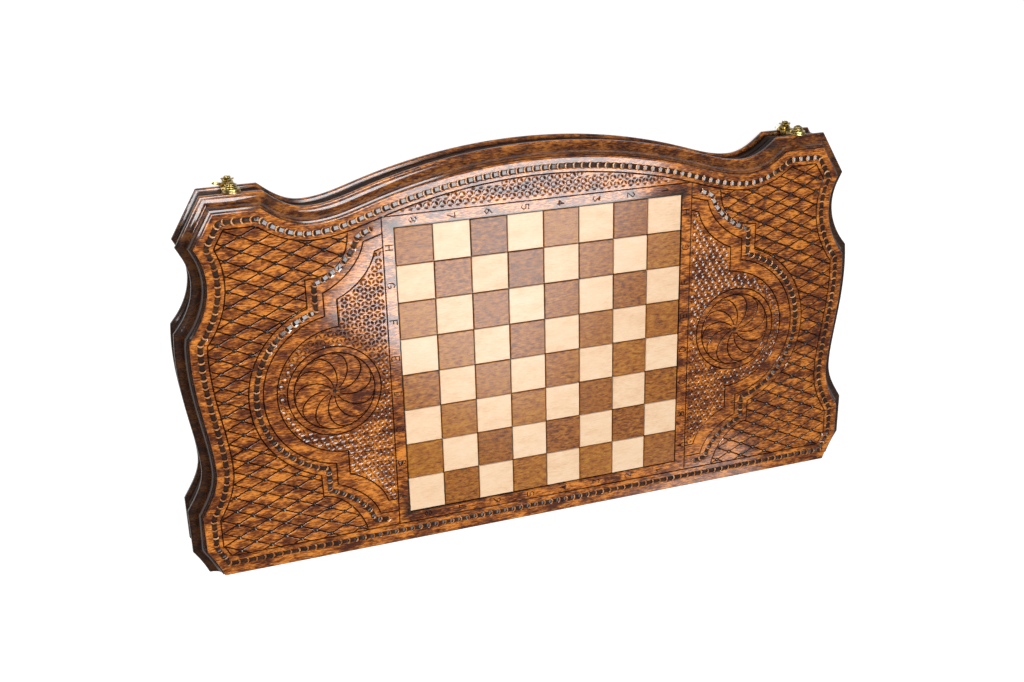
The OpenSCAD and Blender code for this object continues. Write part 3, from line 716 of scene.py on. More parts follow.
def coordinates(carving):
    """Numbers above and below the chess field, letters at its sides."""
    for number, letter, i in zip("87654321", "HGFEDCBA", range(8)):
        step = (i - 3.5) * SQUARE
        for sign, x, y, top in ((number, step, LETTER_ROW, 0), (number, step, -LETTER_ROW, 180),
                                (letter, -LETTER_ROW, -step, 0), (letter, LETTER_ROW, -step, 180)):
            engrave(carving, sign, Vector((x, y)), top)


print("signs that can be engraved:", "".join(STROKES))

# %% [markdown]
# The rope lies in its own channel with a flat floor. Its rims swell and its floor rises and falls
# with every turn of the rope, as a gouge leaves them.

# %% Rope channels
TURN = 7.0
CHANNEL_HALF, SWELL, CHANNEL_DEPTH, FLAT_SHARE = 2.6, 0.3, 1.3, 0.6
CHANNEL_FLOORS = (1, 0.9, 0.8, 0.75)  # shares of the depth within one turn of the rope
FACE_BOTTOM = -HINGE_Y + 1.2  # the face ends where the hinge edge is rounded off
frame_cut = {"width": 1.1, "depth": 0.8}


def channel(carving, path, closed):
    """A channel along a path, with one swell for each turn of the rope."""
    fine = resampled(path, TURN, closed, 4)
    halves = [CHANNEL_HALF + SWELL * math.cos(math.pi / 2 * i) for i in range(len(fine))]
    # The tint darkens the channel: stain that gathers in it, and painted shade
    carving.groove(fine, [2 * h for h in halves], CHANNEL_DEPTH, closed, flat=FLAT_SHARE,
                   steps=CHANNEL_FLOORS, tint=0.6)


def ended(path, low):
    """A path whose two ends are cut off, or drawn out, at a height of the hinge side."""
    path = list(path)
    for _ in range(2):
        last = next(i for i, place in enumerate(path) if i and place.y > low)
        way = path[last] - path[last - 1]
        cut = path[last - 1] + way * ((low - path[last - 1].y) / way.y)
        path = [cut] * last + path[last:]
        path.reverse()
    return path


def bordered():
    """A face with its border line and its rope's channel."""
    face = Carving(ended(outline, FACE_BOTTOM))
    face.groove(border, closed=True, **border_cut)
    channel(face, rope_border, True)
    return face


# Counter-clockwise, so that the crescents run to the right along the foot
rope_border = both_sides(rope_left)[::-1]
front = bordered()
for side in (list, mirrored):
    front.groove(side(squares((-4.31, 4.31), (-4.31, -4.29))), **frame_cut)
    for line in (inner_line, middle_line, outer_line):
        front.groove(side(line), **border_cut)
    channel(front, side(rope_line), False)
    net(front, [net_ground], Vector((-8.606, -4.203)) * SQUARE, side)
    middle = side([WHIRL])[0]
    petals(front, side(inner_line), middle, (middle, CIRCLE), SIDE_PETAL_DEPTH)
    whirl(front, middle, CIRCLE, FRONT_BLADES)
front.groove(squares((-4.31, 4.31), (4.31, 4.31)), **frame_cut)
front.trace([Vector((x * POCKET_EDGE, y * POCKET_EDGE))
             for x, y in ((-1, -1), (-1, 1), (1, 1), (1, -1))], closed=True)
petals(front, crescent_ground, Vector((0, 4.6)) * SQUARE, (Vector((0, 0)), 1), TOP_PETAL_DEPTH)
coordinates(front)
print("corners drawn on the front:", len(front.points))

# %% [markdown]
# The panel's edge is a classic moulding, run with a shaped cutter: a rounded edge, a small step, a
# deep hollow and a rounded lip. It is drawn as rings, each the face's outline moved outwards and
# down, and its step, hollow and lip are darkened as painted shade. The hinge side is left straight.
# Where the edge cuts across the grain, at the two ends of the board, it drinks more stain and is
# darkened further as painted shade. The same profile, turned over, makes the other half.

# %% Rings of the moulded edge
EDGE_R, LEDGE, COVE_R, LIP_R, LIP = 1.2, 1.3, 8.0, 1.5, 4.2
STEP_DEPTH, LEDGE_FALL = 3.0, 0.3
PANEL, WEB = 16.0, 8.0
LIP_OUT = EDGE_R + LEDGE + COVE_R + LIP_R
LIP_DEPTH = STEP_DEPTH + LEDGE_FALL + COVE_R
WALL_OUT = LIP_OUT - 3.0
# How dark each part of the moulding is painted: painted shade in the step, the hollow, under the
# lip and in the crevices, and on the lip itself
COVE_SHADE, COVE_MIDDLE_SHADE, LIP_SHADE, LIP_FOOT_SHADE, CREVICE_SHADE = 0.27, 0.05, 0.08, 0.2, 0.5


def quarter(centre, radius, start, steps, stain):
    """Places on a quarter turn of the profile, from an angle in degrees."""
    return [(centre[0] + radius * toward(start + 90 * i / steps).x,
             centre[1] + radius * toward(start + 90 * i / steps).y, stain)
            for i in range(steps + 1)]


def profile():
    """The moulding as distance out, depth under the face, and how dark its painted shade is."""
    cove = [(LIP_OUT - LIP_R - COVE_R * math.cos(math.radians(9 * i)),
             STEP_DEPTH + LEDGE_FALL + COVE_R * math.sin(math.radians(9 * i)),
             COVE_SHADE + COVE_MIDDLE_SHADE * math.sin(math.radians(18 * i))) for i in range(11)]
    return [*quarter((0, EDGE_R), EDGE_R, -90, 4, 0.0), (EDGE_R, STEP_DEPTH, CREVICE_SHADE), *cove,
            *quarter((LIP_OUT - LIP_R, LIP_DEPTH + LIP_R), LIP_R, -90, 4, LIP_SHADE)[1:],
            *quarter((LIP_OUT - LIP_R, LIP_DEPTH + LIP - LIP_R), LIP_R, 0, 4, LIP_FOOT_SHADE),
            (WALL_OUT, LIP_DEPTH + LIP + LEDGE_FALL, CREVICE_SHADE),
            (WALL_OUT, PANEL, CREVICE_SHADE)]


def ring(out):
    """The outline moved outwards, and ended at the hinge side."""
    return ended(beside(outline, [out] * len(outline)), -HINGE_Y + EDGE_R - min(out, EDGE_R))


def end_stain_and_shade():
    """The darkening at each place of the outline, most where it cuts across the grain at the two
    ends: end grain that drinks stain, and painted shade.
    """
    ways = [abs((far - near).normalized().x) for near, far in zip(outline, ring(1.0))]
    return [CREVICE_SHADE * min(1.0, max(0.0, (way - 0.3) / 0.35)) for way in ways]


print("rings in the moulding:", len(profile()))

# %% [markdown]
# One mesh holds the carved face, the moulded edge, the flat underside and the tray's recess, so no
# seam shows anywhere. The stain, together with the painted shade of the cuts, the hollows and the
# ends, is kept as a number at each corner, which the finish reads.

# %% Panels
TRAY_X, TRAY_LOW, TRAY_HIGH = 257.5, -137.0, 127.0
POCKET_DEPTH, POCKET_WALL_STAIN = 2.0, 0.6
BACK_RING, BACK_WHIRL = 62, 52


def rectangle(x, low, high):
    """Four corners, as far to the left of the middle as to the right."""
    return [Vector(p) for p in ((-x, low), (-x, high), (x, high), (x, low))]


def triangles(carving, hole=None):
    """Places and triangles between the lines of a face, left open inside a rectangular hole."""
    places, _, faces, *_ = delaunay_2d_cdt(carving.points, carving.edges, [], 1, 0.002)
    if not hole:
        return places, faces
    left, right, low, high = hole[0].x, hole[2].x, hole[0].y, hole[2].y
    middles = [sum((places[i] for i in face), Vector((0, 0))) / len(face) for face in faces]
    return places, [face for face, middle in zip(faces, middles)
                    if not (left < middle.x < right and low < middle.y < high)]


class Shell:
    """Corners and faces in millimetres, with the stain and painted shade at each corner."""

    def __init__(self):
        self.corners, self.stains, self.faces, self.smooth = [], [], [], []

    def put(self, corners, faces, stains=None, smooth=False):
        """Adds corners, and faces between them."""
        start = len(self.corners)
        self.corners += corners
        self.stains += stains or [0.0] * len(corners)
        self.faces += [[start + i for i in face] for face in faces]
        self.smooth += [smooth] * len(faces)

    def wall(self, upper, lower, stains=(0.0, 0.0)):
        """Faces between two closed rings with as many corners."""
        count = len(upper)
        stains = [stain for part in stains
                  for stain in (part if isinstance(part, list) else [part] * count)]
        self.put(upper + lower,
                 [(i, (i + 1) % count, count + (i + 1) % count, count + i) for i in range(count)],
                 stains, True)

    def mesh(self, name, sharp=30):
        """The shell as one closed mesh in metres, with its faces turned outwards."""
        body = bmesh.new()
        stain = body.verts.layers.float.new("stain")
        for corner, value in zip(self.corners, self.stains):
            body.verts.new(Vector(corner) * MM)[stain] = value
        body.verts.ensure_lookup_table()
        for face, smooth in zip(self.faces, self.smooth):
            body.faces.new([body.verts[i] for i in face]).smooth = smooth
        bmesh.ops.remove_doubles(body, verts=body.verts, dist=0.002 * MM)
        bmesh.ops.recalc_face_normals(body, faces=body.faces)
        for edge in body.edges:
            edge.smooth = edge.calc_face_angle(0) < math.radians(sharp)
        mesh = bpy.data.meshes.new(name)
        body.to_mesh(mesh)
        body.free()
        return mesh


def put_in_place(name, mesh, material, body, slot, *replaced):
    """Makes a finished piece of a mesh, with its material and its body, and hides the drawn parts
    it replaces.
    """
    mesh.materials.clear()
    mesh.materials.append(material)
    made = bpy.data.objects.new(name, mesh)
    bpy.context.scene.collection.objects.link(made)
    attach(made, body)
    if replaced:
        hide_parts(*replaced)
    print(name + ":", len(mesh.polygons), "faces")
    return made


def panel(name, carving, flip, pocket=None):
    """A moulded and carved panel. Flip turns the back half's heights into the front half's."""
    def high(depth):
        """The height of a depth under the face."""
        return THICKNESS - depth if flip else depth

    shell = Shell()
    places, faces = triangles(carving, pocket)
    cuts = [carving.at(p) for p in places]
    shell.put([(p.x, p.y, high(cut[0])) for p, cut in zip(places, cuts)], faces,
              [cut[1] for cut in cuts])
    steps = profile()
    rings = [[(p.x, p.y, high(depth)) for p in ring(out)] for out, depth, _ in steps]
    # Past the rounded edge, the ends of the board take their end-grain stain and painted shade
    held = [[max(stain, end) if out > EDGE_R else stain for end in end_stain_and_shade()]
            for out, _, stain in steps]
    for i in range(len(steps) - 1):
        shell.wall(rings[i], rings[i + 1], (held[i], held[i + 1]))
    if pocket:
        floor_path = [(p.x, p.y, high(POCKET_DEPTH)) for p in pocket]
        shell.wall([(p.x, p.y, high(0)) for p in pocket], floor_path, (POCKET_WALL_STAIN, 1.0))
        shell.put(floor_path, [range(4)], [1.0] * 4)
    tray = rectangle(TRAY_X, TRAY_LOW, TRAY_HIGH)
    underside = Carving(ring(WALL_OUT))
    underside.trace(tray, closed=True)
    places, faces = triangles(underside, tray)
    shell.put([(p.x, p.y, high(PANEL)) for p in places], faces)
    tray_floor = [(p.x, p.y, high(WEB)) for p in tray]
    shell.wall([(p.x, p.y, high(PANEL)) for p in tray], tray_floor)
    shell.put(tray_floor, [range(4)])
    return shell.mesh(name)


pocket = rectangle(POCKET_EDGE, -POCKET_EDGE, POCKET_EDGE)
put_in_place("carved_front_panel", panel("front", front, True, pocket), carved_beech, "front_half",
             "carved_stained_beech", "front_panel")
back = bordered()
net(back, [border, [toward(5 * i) * BACK_RING for i in range(72)]], Vector((0, 0)))
whirl(back, Vector((0, 0)), BACK_WHIRL, BACK_BLADES)
put_in_place("carved_back_panel", panel("back", back, False), carved_beech, "back_half",
             "carved_stained_beech", "back_panel")

# %% [markdown]
# Things that repeat are made by Geometry Nodes: one shape, and the rule that repeats it. Each tree
# is a group of nodes with named sizes. The result is turned into a plain mesh, because an exported
# model doesn't hold repeats.

# %% Making a piece by a tree of nodes
def new_tree(name, *sizes):
    """An empty tree with a shape in, a shape out, a material, and the named sizes."""
    tree = bpy.data.node_groups.new(name, "GeometryNodeTree")
    tree.interface.new_socket("Geometry", in_out="OUTPUT", socket_type="NodeSocketGeometry")
    tree.interface.new_socket("Geometry", in_out="INPUT", socket_type="NodeSocketGeometry")
    tree.interface.new_socket("Material", in_out="INPUT", socket_type="NodeSocketMaterial")
    for size in sizes:
        kind = "NodeSocketInt" if size.startswith("Count") else "NodeSocketFloat"
        tree.interface.new_socket(size, in_out="INPUT", socket_type=kind)
    return tree, add(tree, "NodeGroupInput").outputs


def close_tree(tree, geometry, material):
    """Ends a tree: repeats become real, and the material is set."""
    real = add(tree, "GeometryNodeRealizeInstances", {0: geometry})
    painted = add(tree, "GeometryNodeSetMaterial", {"Geometry": real, "Material": material})
    add(tree, "NodeGroupOutput", {0: painted})
    return tree


def vector(tree, x=0.0, y=0.0, z=0.0):
    """A vector put together from three numbers."""
    return add(tree, "ShaderNodeCombineXYZ", {0: x, 1: y, 2: z})


def moved_shape(tree, shape, place=(0, 0, 0), turn=(0, 0, 0), scale=(1, 1, 1)):
    """A shape that is scaled, turned and moved."""
    return add(tree, "GeometryNodeTransform",
               {"Geometry": shape, "Translation": place, "Rotation": turn, "Scale": scale})


def repeated(tree, places, shape, turn=(0, 0, 0), scale=(1, 1, 1)):
    """A shape at every point."""
    return add(tree, "GeometryNodeInstanceOnPoints",
               {"Points": places, "Instance": shape, "Rotation": turn, "Scale": scale})


def facing(tree, way):
    """The turn about Z that lays X along a way."""
    return add(tree, "FunctionNodeAlignRotationToVector", {"Vector": way}, axis="X", pivot_axis="Z")


def joined(tree, *shapes):
    """Several shapes as one."""
    whole = add(tree, "GeometryNodeJoinGeometry")
    for shape in shapes:
        tree.links.new(shape.outputs[0], whole.inputs[0])
    return whole


def made_by(tree, source, **sizes):
    """The mesh that a tree makes of a source mesh, with its sizes set by their identifiers."""
    holder = bpy.data.objects.new("holder", source)
    bpy.context.scene.collection.objects.link(holder)
    modifier = holder.modifiers.new("tree", "NODES")
    modifier.node_group = tree
    names = {item.name: item.identifier for item in tree.interface.items_tree
             if item.in_out == "INPUT"}
    for size, value in sizes.items():
        modifier[names[size]] = value
    evaluated = holder.evaluated_get(bpy.context.evaluated_depsgraph_get())
    mesh = bpy.data.meshes.new_from_object(evaluated)
    holder.modifiers.clear()
    bpy.data.objects.remove(holder)
    return mesh


def plain_mesh(corners, edges=()):
    """Places in millimetres, and the edges between them, as a mesh."""
    mesh = bpy.data.meshes.new("places")
    mesh.from_pydata([Vector(corner) * MM for corner in corners], edges, [])
    return mesh


print("trees turn into plain meshes")

# %% [markdown]
# The rope is a row of crescents, each the end of one twist, pushed together along its channel. One
# crescent is an arc, thick in its middle and pointed at its ends. It is put at even steps along the
# channel's middle line and turned to follow it.

# %% Rope
ROPE_WIDTH, ROPE_THICKNESS, ROPE_DEPTH = 5.8, 1.35, 0.6
HALF_SWEEP, THIN_END, FLATTENED, SET_BACK = 98, 0.14, 0.8, 0.6


def rope_tree():
    """Crescents at even steps along a path."""
    tree, given = new_tree("rope", "Width", "Thickness")
    radius = maths(tree, "MULTIPLY", given["Width"], 0.5)
    half = maths(tree, "MULTIPLY", given["Thickness"], 0.5)
    arc = add(tree, "GeometryNodeCurveArc",
              {"Resolution": 10, "Radius": radius, "Start Angle": math.radians(-HALF_SWEEP),
               "Sweep Angle": math.radians(2 * HALF_SWEEP)})
    share = add(tree, "GeometryNodeSplineParameter").outputs["Factor"]
    taper = maths(tree, "SINE", maths(tree, "MULTIPLY", share, math.pi))
    circle = add(tree, "GeometryNodeCurvePrimitiveCircle", {"Resolution": 6})
    section = moved_shape(tree, circle, scale=vector(tree, half, half, 1))
    bead = add(tree, "GeometryNodeCurveToMesh",
               {"Curve": arc, "Profile Curve": section,
                "Scale": maths(tree, "MAXIMUM", taper, THIN_END), "Fill Caps": True})
    back = vector(tree, maths(tree, "MULTIPLY", radius, -SET_BACK))
    bead = moved_shape(tree, bead, back, scale=(1, 1, FLATTENED))
    line = add(tree, "GeometryNodeMeshToCurve", {"Mesh": given["Geometry"]})
    row = repeated(tree, line, bead, facing(tree, add(tree, "GeometryNodeInputTangent")))
    return close_tree(tree, row, given["Material"])


rope = rope_tree()
# The crescents are coloured paler than the face, as a painted sheen
rope_beech_painted_sheen = wood("rope_beech_brown_stain_gloss_varnish", "#955628", "#CE8850", "#F4BE8A",
                  polish=0.15)


def rope_piece(name, paths, height, body):
    """The crescents of one face, as a separate piece, along open or closed paths."""
    corners, edges = [], []
    for path, closed in paths:
        start, turns = len(corners), resampled(path, TURN, closed)
        count = len(turns)
        corners += [(p.x, p.y, height) for p in turns]
        edges += [(start + i, start + (i + 1) % count)
                  for i in range(count if closed else count - 1)]
    mesh = made_by(rope, plain_mesh(corners, edges), Material=rope_beech_painted_sheen, Width=ROPE_WIDTH * MM,
                   Thickness=ROPE_THICKNESS * MM)
    mesh.set_sharp_from_angle(angle=math.radians(40))
    put_in_place(name, mesh, rope_beech_painted_sheen, body, "carved_stained_beech")


rope_piece("front_rope", [(rope_border, True), (rope_line, False), (mirrored(rope_line), False)],
           THICKNESS - ROPE_DEPTH, "front_half")
rope_piece("back_rope", [(rope_border, True)], ROPE_DEPTH, "back_half")

# %% [markdown]
# Thirty-two light and thirty-two dark squares of veneer are let into a shallow pocket, with a thin
# dark line of filler between them. A tree of nodes lays the tiles out and breaks their top edges.
# No two tiles are cut from the same leaf, so each tile carries its own number, and its grain and
# shade follow from it.

# %% Chess squares
TILE, TILE_THICK, BROKEN_EDGE = SQUARE - 0.9, 2.0, 0.35


def tile_tree():
    """Square tiles on the points of a mesh, each with a random tone."""
    tree, given = new_tree("tiles", "Side", "Thickness", "Edge", "Count of seed")
    size = vector(tree, given["Side"], given["Side"], given["Thickness"])
    tile = add(tree, "GeometryNodeMeshCube", {"Size": size})
    up = add(tree, "ShaderNodeSeparateXYZ", {0: add(tree, "GeometryNodeInputNormal")}).outputs["Z"]
    is_top = add(tree, "FunctionNodeCompare", {0: up, 1: 0.5}, operation="GREATER_THAN")
    top = add(tree, "GeometryNodeExtrudeMesh",
              {"Mesh": tile, "Selection": is_top, "Offset Scale": given["Edge"]})
    share = maths(tree, "DIVIDE", given["Edge"], given["Side"])
    top = add(tree, "GeometryNodeScaleElements",
              {"Geometry": top.outputs["Mesh"], "Selection": top.outputs["Top"],
               "Scale": maths(tree, "MULTIPLY_ADD", share, -2.0, 1.0)})
    number = add(tree, "FunctionNodeRandomValue", {"Seed": given["Count of seed"]})
    toned = add(tree, "GeometryNodeStoreNamedAttribute",
                {"Geometry": repeated(tree, given["Geometry"], top), "Name": "tone",
                 "Value": number.outputs[1]}, data_type="FLOAT", domain="INSTANCE")
    return close_tree(tree, toned, given["Material"])


tiles = tile_tree()


def tile_places(parity):
    """The middles of the squares of one colour, just under their tops."""
    low = THICKNESS - (TILE_THICK + BROKEN_EDGE) / 2
    return plain_mesh([((i - 3.5) * SQUARE, (j - 3.5) * SQUARE, low)
                       for i in range(8) for j in range(8) if (i + j) % 2 == parity])


pale_beech = wood("square_beech_clear_varnish", "#E8BC90", "#F8D4AE", "#FCE2C4",
                  fibre=0.7, blotch=9, spread=0.16, gloss=1.34, polish=0.2, plank=400)
stained_beech = wood("square_beech_brown_stain_gloss_varnish", "#5E2E10", "#A05C18", "#BE8028",
                     fibre=0.6, blotch=2.4, spread=0.1, gloss=1.45, polish=0.2, plank=400)
for parity, shade, material, slot in ((0, "light", pale_beech, "pale_beech"),
                                      (1, "dark", stained_beech, "dark_stained_beech")):
    mesh = made_by(tiles, tile_places(parity), **{
        "Material": material, "Side": TILE * MM, "Thickness": (TILE_THICK - BROKEN_EDGE) * MM,
        "Edge": BROKEN_EDGE * MM, "Count of seed": parity + 3})
    put_in_place(shade + "_squares", mesh, material, "front_half", slot, shade + "_chess_squares")

# %% [markdown]
# The rails, the trays and the inlays have their right shape in the drawing already, but a drawn
# edge is perfectly sharp, and no planed board is. Each is copied, its loose triangles are joined
# again, and its edges are broken by a fraction of a millimetre, so that they catch a line of light.

# %% Planed and rubbed pieces
def softened(node, material, body, slot, width, tone=0.0):
    """A copy of a drawn piece with its edges broken by a width in millimetres."""
    shape = bmesh.new()
    shape.from_mesh(nodes[node].data)
    bmesh.ops.remove_doubles(shape, verts=shape.verts, dist=0.002 * MM)
    bmesh.ops.dissolve_limit(shape, angle_limit=math.radians(1), verts=shape.verts,
                             edges=shape.edges)
    sharp = [edge for edge in shape.edges if edge.calc_face_angle(0) > math.radians(28)]
    bmesh.ops.bevel(shape, geom=sharp, offset=width * MM, offset_type="OFFSET", segments=2,
                    profile=0.6, affect="EDGES", clamp_overlap=True)
    bmesh.ops.triangulate(shape, faces=[face for face in shape.faces if len(face.verts) > 4])
    for face in shape.faces:
        face.smooth = True
    for edge in shape.edges:
        edge.smooth = edge.calc_face_angle(0) < math.radians(32)
    mesh = bpy.data.meshes.new(node)
    shape.to_mesh(mesh)
    shape.free()
    tones = mesh.attributes.new("tone", "FLOAT", "POINT")
    tones.data.foreach_set("value", [tone] * len(mesh.vertices))
    return put_in_place(node + "_finished", mesh, material, body, slot, node)


tray_ply = wood("tray_birch_ply_satin_varnish", "#A8713C", "#C6935A", "#DCB27E", fibre=1.2,
                blotch=16, spread=0.14, rough=0.45, coat=0.3, plank=400)
point_light = wood("inlaid_maple_satin_varnish", "#E0B078", "#EFC899", "#F9DDB6", fibre=1.0,
                   blotch=12, spread=0.16, rough=0.42, coat=0.3, plank=44)
point_dark = wood("inlaid_walnut_satin_varnish", "#2E170A", "#4E2A14", "#6C401F", fibre=1.0,
                  blotch=12, spread=0.14, rough=0.42, coat=0.3, plank=44)
for half in ("back", "front"):
    for part, material, slot, width, tone in (
            ("_hinge_rail", side_beech_stain_and_painted_shade, "stained_beech_rail", 0.3, 0.5),
            ("_arch_rail", side_beech_stain_and_painted_shade, "stained_beech_rail", 0.3, 1.5),
            ("_left_rail", side_beech_stain_and_painted_shade, "stained_beech_rail", 0.3, 2.5),
            ("_right_rail", side_beech_stain_and_painted_shade, "stained_beech_rail", 0.3, 3.5),
            ("_playing_field", tray_ply, "tray_board", 0.15, 0.0),
            ("_left_checker_strip", side_beech_stain_and_painted_shade, "stained_beech_rail", 0.5, 0.3),
            ("_right_checker_strip", side_beech_stain_and_painted_shade, "stained_beech_rail", 0.5, 0.7),
            ("_light_points", point_light, "pale_veneer", 0.1, 0.0),
            ("_dark_points", point_dark, "dark_veneer", 0.1, 0.0)):
        softened(half + part, material, half + "_half", slot, width, tone)

# %% [markdown]
# Three metals are used. The hinges are rolled brass, bright and brushed along their length. The
# latches are cast brass that was darkened and rubbed, so the hollows stay olive brown while the
# high places shine. The pins are drawn steel. A metal's colour is in its reflection, so all of them
# are fully metallic and keep the usual index of refraction.

# %% Metal finishes
def metal(name, low, high, rough, grit, stretch=(1.0, 1.0, 1.0), rubbed=False):
    """A metal between two hex colours, with marks of a size in millimetres drawn out one way."""
    material, tree = new_material(name)
    place = add(tree, "ShaderNodeTexCoord").outputs["Object"]
    drawn = add(tree, "ShaderNodeMapping",
                {"Vector": place, "Scale": [1 / (grit * MM * part) for part in stretch]})
    marks = add(tree, "ShaderNodeTexNoise", {"Vector": drawn, "Scale": 1.0, "Detail": 4})
    marks = marks.outputs["Fac"]
    level = marks
    if rubbed:
        edges = add(tree, "ShaderNodeNewGeometry").outputs["Pointiness"]
        edges = add(tree, "ShaderNodeMapRange",
                    {"Value": edges, "From Min": 0.46, "From Max": 0.56})
        level = add(tree, "ShaderNodeMix", {"Factor": 0.75, "A": marks, "B": edges})
    colour = ramp(tree, level, (0.3, low), (0.7, high))
    spread = add(tree, "ShaderNodeMapRange",
                 {"Value": marks, "To Min": rough - 0.1, "To Max": rough + 0.1})
    raised = add(tree, "ShaderNodeBump", {"Height": marks, "Strength": 0.12, "Distance": 0.1 * MM})
    return surfaced(material, add(tree, "ShaderNodeBsdfPrincipled",
                                  {"Base Color": colour, "Metallic": 1.0, "Roughness": spread,
                                   "Normal": raised}))


hinge_brass = metal("hinge_brass_rolled_and_brushed", "#9A7838", "#C4A45E", 0.4, 0.4, (20, 1, 1))
cast_brass = metal("latch_brass_cast_darkened_and_rubbed", "#4B3F1E", "#C6B074", 0.3, 0.8,
                   rubbed=True)
pin_steel = metal("hinge_pin_drawn_steel", "#8B8D8F", "#B9BBBD", 0.3, 0.3, (30, 1, 1))
for side in ("left", "right"):
    for part, material, body, slot, width in (
            ("_hinge_back_leaf", hinge_brass, "back_half", "hinge_brass", 0.12),
            ("_hinge_front_leaf", hinge_brass, "front_half", "hinge_brass", 0.12),
            ("_hinge_pin", pin_steel, "back_half", "pin_steel", 0.2),
            ("_hook_plate", cast_brass, "back_half", "aged_brass", 0.3),
            ("_post_plate", cast_brass, "front_half", "aged_brass", 0.3),
            ("_hook", cast_brass, side + "_hook_body", "aged_brass", 0.35)):
        softened(side + part, material, body, slot, width)

# %% [markdown]
# Twenty small countersunk screws hold the hinges and the latches. Each has a sawn slot across its
# head, and no two slots point the same way, because each screw stops turning where it is tight.

# %% Screws
SHANK_R, HEAD_R, SCREW_LENGTH = 0.9, 1.8, 8.0
SLOT_LENGTH, SLOT_WIDTH, SLOT_DEPTH = 10, 0.5, 0.8
HINGE_HEAD, LATCH_HEAD = 1.0, 1.2
LEAF_TOP, LEAF_SCREW_Y = 25.8, -143.0
HINGE_X, HINGE_SCREW_GAP = 150.0, 20.0
EAR_X, PLATE_Y, LATCH_SCREW_Z, LATCH_SCREW_X = 242.25, 162.5, 21.0, 3.5


def screw_tree():
    """Slotted screws on the points of a mesh, with their heads up."""
    tree, given = new_tree("screws", "Shank radius", "Head radius", "Head height", "Length",
                           "Slot width", "Slot depth", "Count of seed")
    head_height, length = given["Head height"], given["Length"]
    shank_length = maths(tree, "SUBTRACT", length, head_height)
    parts = []
    for top, height, fall in (("Head radius", head_height, head_height),
                              ("Shank radius", shank_length, length)):
        part = add(tree, "GeometryNodeMeshCone",
                   {"Vertices": 24, "Radius Top": given[top],
                    "Radius Bottom": given["Shank radius"], "Depth": height})
        foot = maths(tree, "MULTIPLY", fall, -1.0)
        parts.append(moved_shape(tree, part, vector(tree, z=foot)))
    size = vector(tree, SLOT_LENGTH * MM, given["Slot width"], given["Slot depth"])
    slot = add(tree, "GeometryNodeMeshCube", {"Size": size})
    head = add(tree, "GeometryNodeMeshBoolean", {0: parts[0], 1: slot}, operation="DIFFERENCE")
    number = add(tree, "FunctionNodeRandomValue", {"Seed": given["Count of seed"]}).outputs[1]
    turn = vector(tree, z=maths(tree, "MULTIPLY", number, math.pi))
    row = repeated(tree, given["Geometry"], joined(tree, head, parts[1]), turn)
    return close_tree(tree, row, given["Material"])


def moved(mesh, matrix):
    """A mesh put in place, with its faces turned back outwards if the move mirrors it."""
    mesh.transform(matrix)
    if matrix.determinant() < 0:
        mesh.flip_normals()
    return mesh


def on_ear(height, half, side=0, up=0.0):
    """From (across, up the edge, out) to the board's axes, on an ear of one half."""
    way = 1 if half == "back" else -1
    start = 0 if half == "back" else THICKNESS
    return Matrix(((1, 0, 0, side * EAR_X * MM), (0, 0, 1, height * MM), (0, way, 0, start * MM),
                   (0, 0, 0, 1))) @ Matrix.Translation((0, up * MM, 0))


screws = screw_tree()
hinge_places = [(side * HINGE_X + step * HINGE_SCREW_GAP, LEAF_SCREW_Y, 0)
                for side in (-1, 1) for step in (-1, 0, 1)]
latch_places = [(side * EAR_X + step * LATCH_SCREW_X, LATCH_SCREW_Z, 0)
                for side in (-1, 1) for step in (-1, 1)]
turned_over = Matrix.Diagonal((1, 1, -1, 1))
on_leaf = {"back": Matrix.Translation((0, 0, LEAF_TOP * MM)),
           "front": Matrix.Translation((0, 0, (THICKNESS - LEAF_TOP) * MM)) @ turned_over}
for half in ("back", "front"):
    for kind, places, head, material, slot, matrix in (
            ("hinge", hinge_places, HINGE_HEAD, hinge_brass, "hinge_brass", on_leaf[half]),
            ("latch", latch_places, LATCH_HEAD, cast_brass, "aged_brass", on_ear(PLATE_Y, half))):
        mesh = made_by(screws, plain_mesh(places), **{
            "Material": material, "Shank radius": SHANK_R * MM, "Head radius": HEAD_R * MM,
            "Head height": head * MM, "Length": SCREW_LENGTH * MM, "Slot width": SLOT_WIDTH * MM,
            "Slot depth": SLOT_DEPTH * MM, "Count of seed": len(places) + len(half)})
        node = half + "_" + kind + "_screws"
        put_in_place(node + "_slotted", moved(mesh, matrix), material, half + "_half", slot, node)

# %% [markdown]
# The post is turned, like a beehive: a plain neck for the hook, three rounded ribs that get
# smaller, and a low dome. A turned piece is one profile swept round its axis.

# %% Posts
REACH_Z = 15.5
NECK_R, NECK_H, POST_R, RIB_STEP, RIB_H, DOME_R = 3.0, 2.2, 4.6, 0.5, 1.2, 2.6
BEAD, DOME_SHARE, RIBS = 0.45, 0.65, 3
HOLLOW_IN, HOLLOW_UP = 0.55, 0.1  # the narrow place over each rib


def turned(name, steps, sides=40):
    """A closed mesh from radius and height along a profile, from foot to top."""
    shell = Shell()
    rings = [[(*(toward(360 * i / sides) * radius), height) for i in range(sides)]
             for radius, height in steps]
    for lower, upper in zip(rings, rings[1:]):
        shell.wall(lower, upper)
    return shell.mesh(name, 50)


def beehive():
    """The post's profile, from the plate to the top of its dome."""
    steps = [(0, 0), (NECK_R, 0), (NECK_R, NECK_H)]
    for i in range(RIBS):
        radius, foot = POST_R - i * RIB_STEP - BEAD, NECK_H + i * RIB_H
        steps += [(radius + BEAD * toward(angle).x, foot + BEAD + BEAD * toward(angle).y)
                  for angle in range(-90, 91, 30)]
        steps.append((radius - HOLLOW_IN, foot + 2 * BEAD + HOLLOW_UP))
    dome = NECK_H + (RIBS - 0.5) * RIB_H
    return steps + [(DOME_R * toward(angle).x, dome + DOME_SHARE * DOME_R * toward(angle).y)
                    for angle in range(18, 91, 9)]


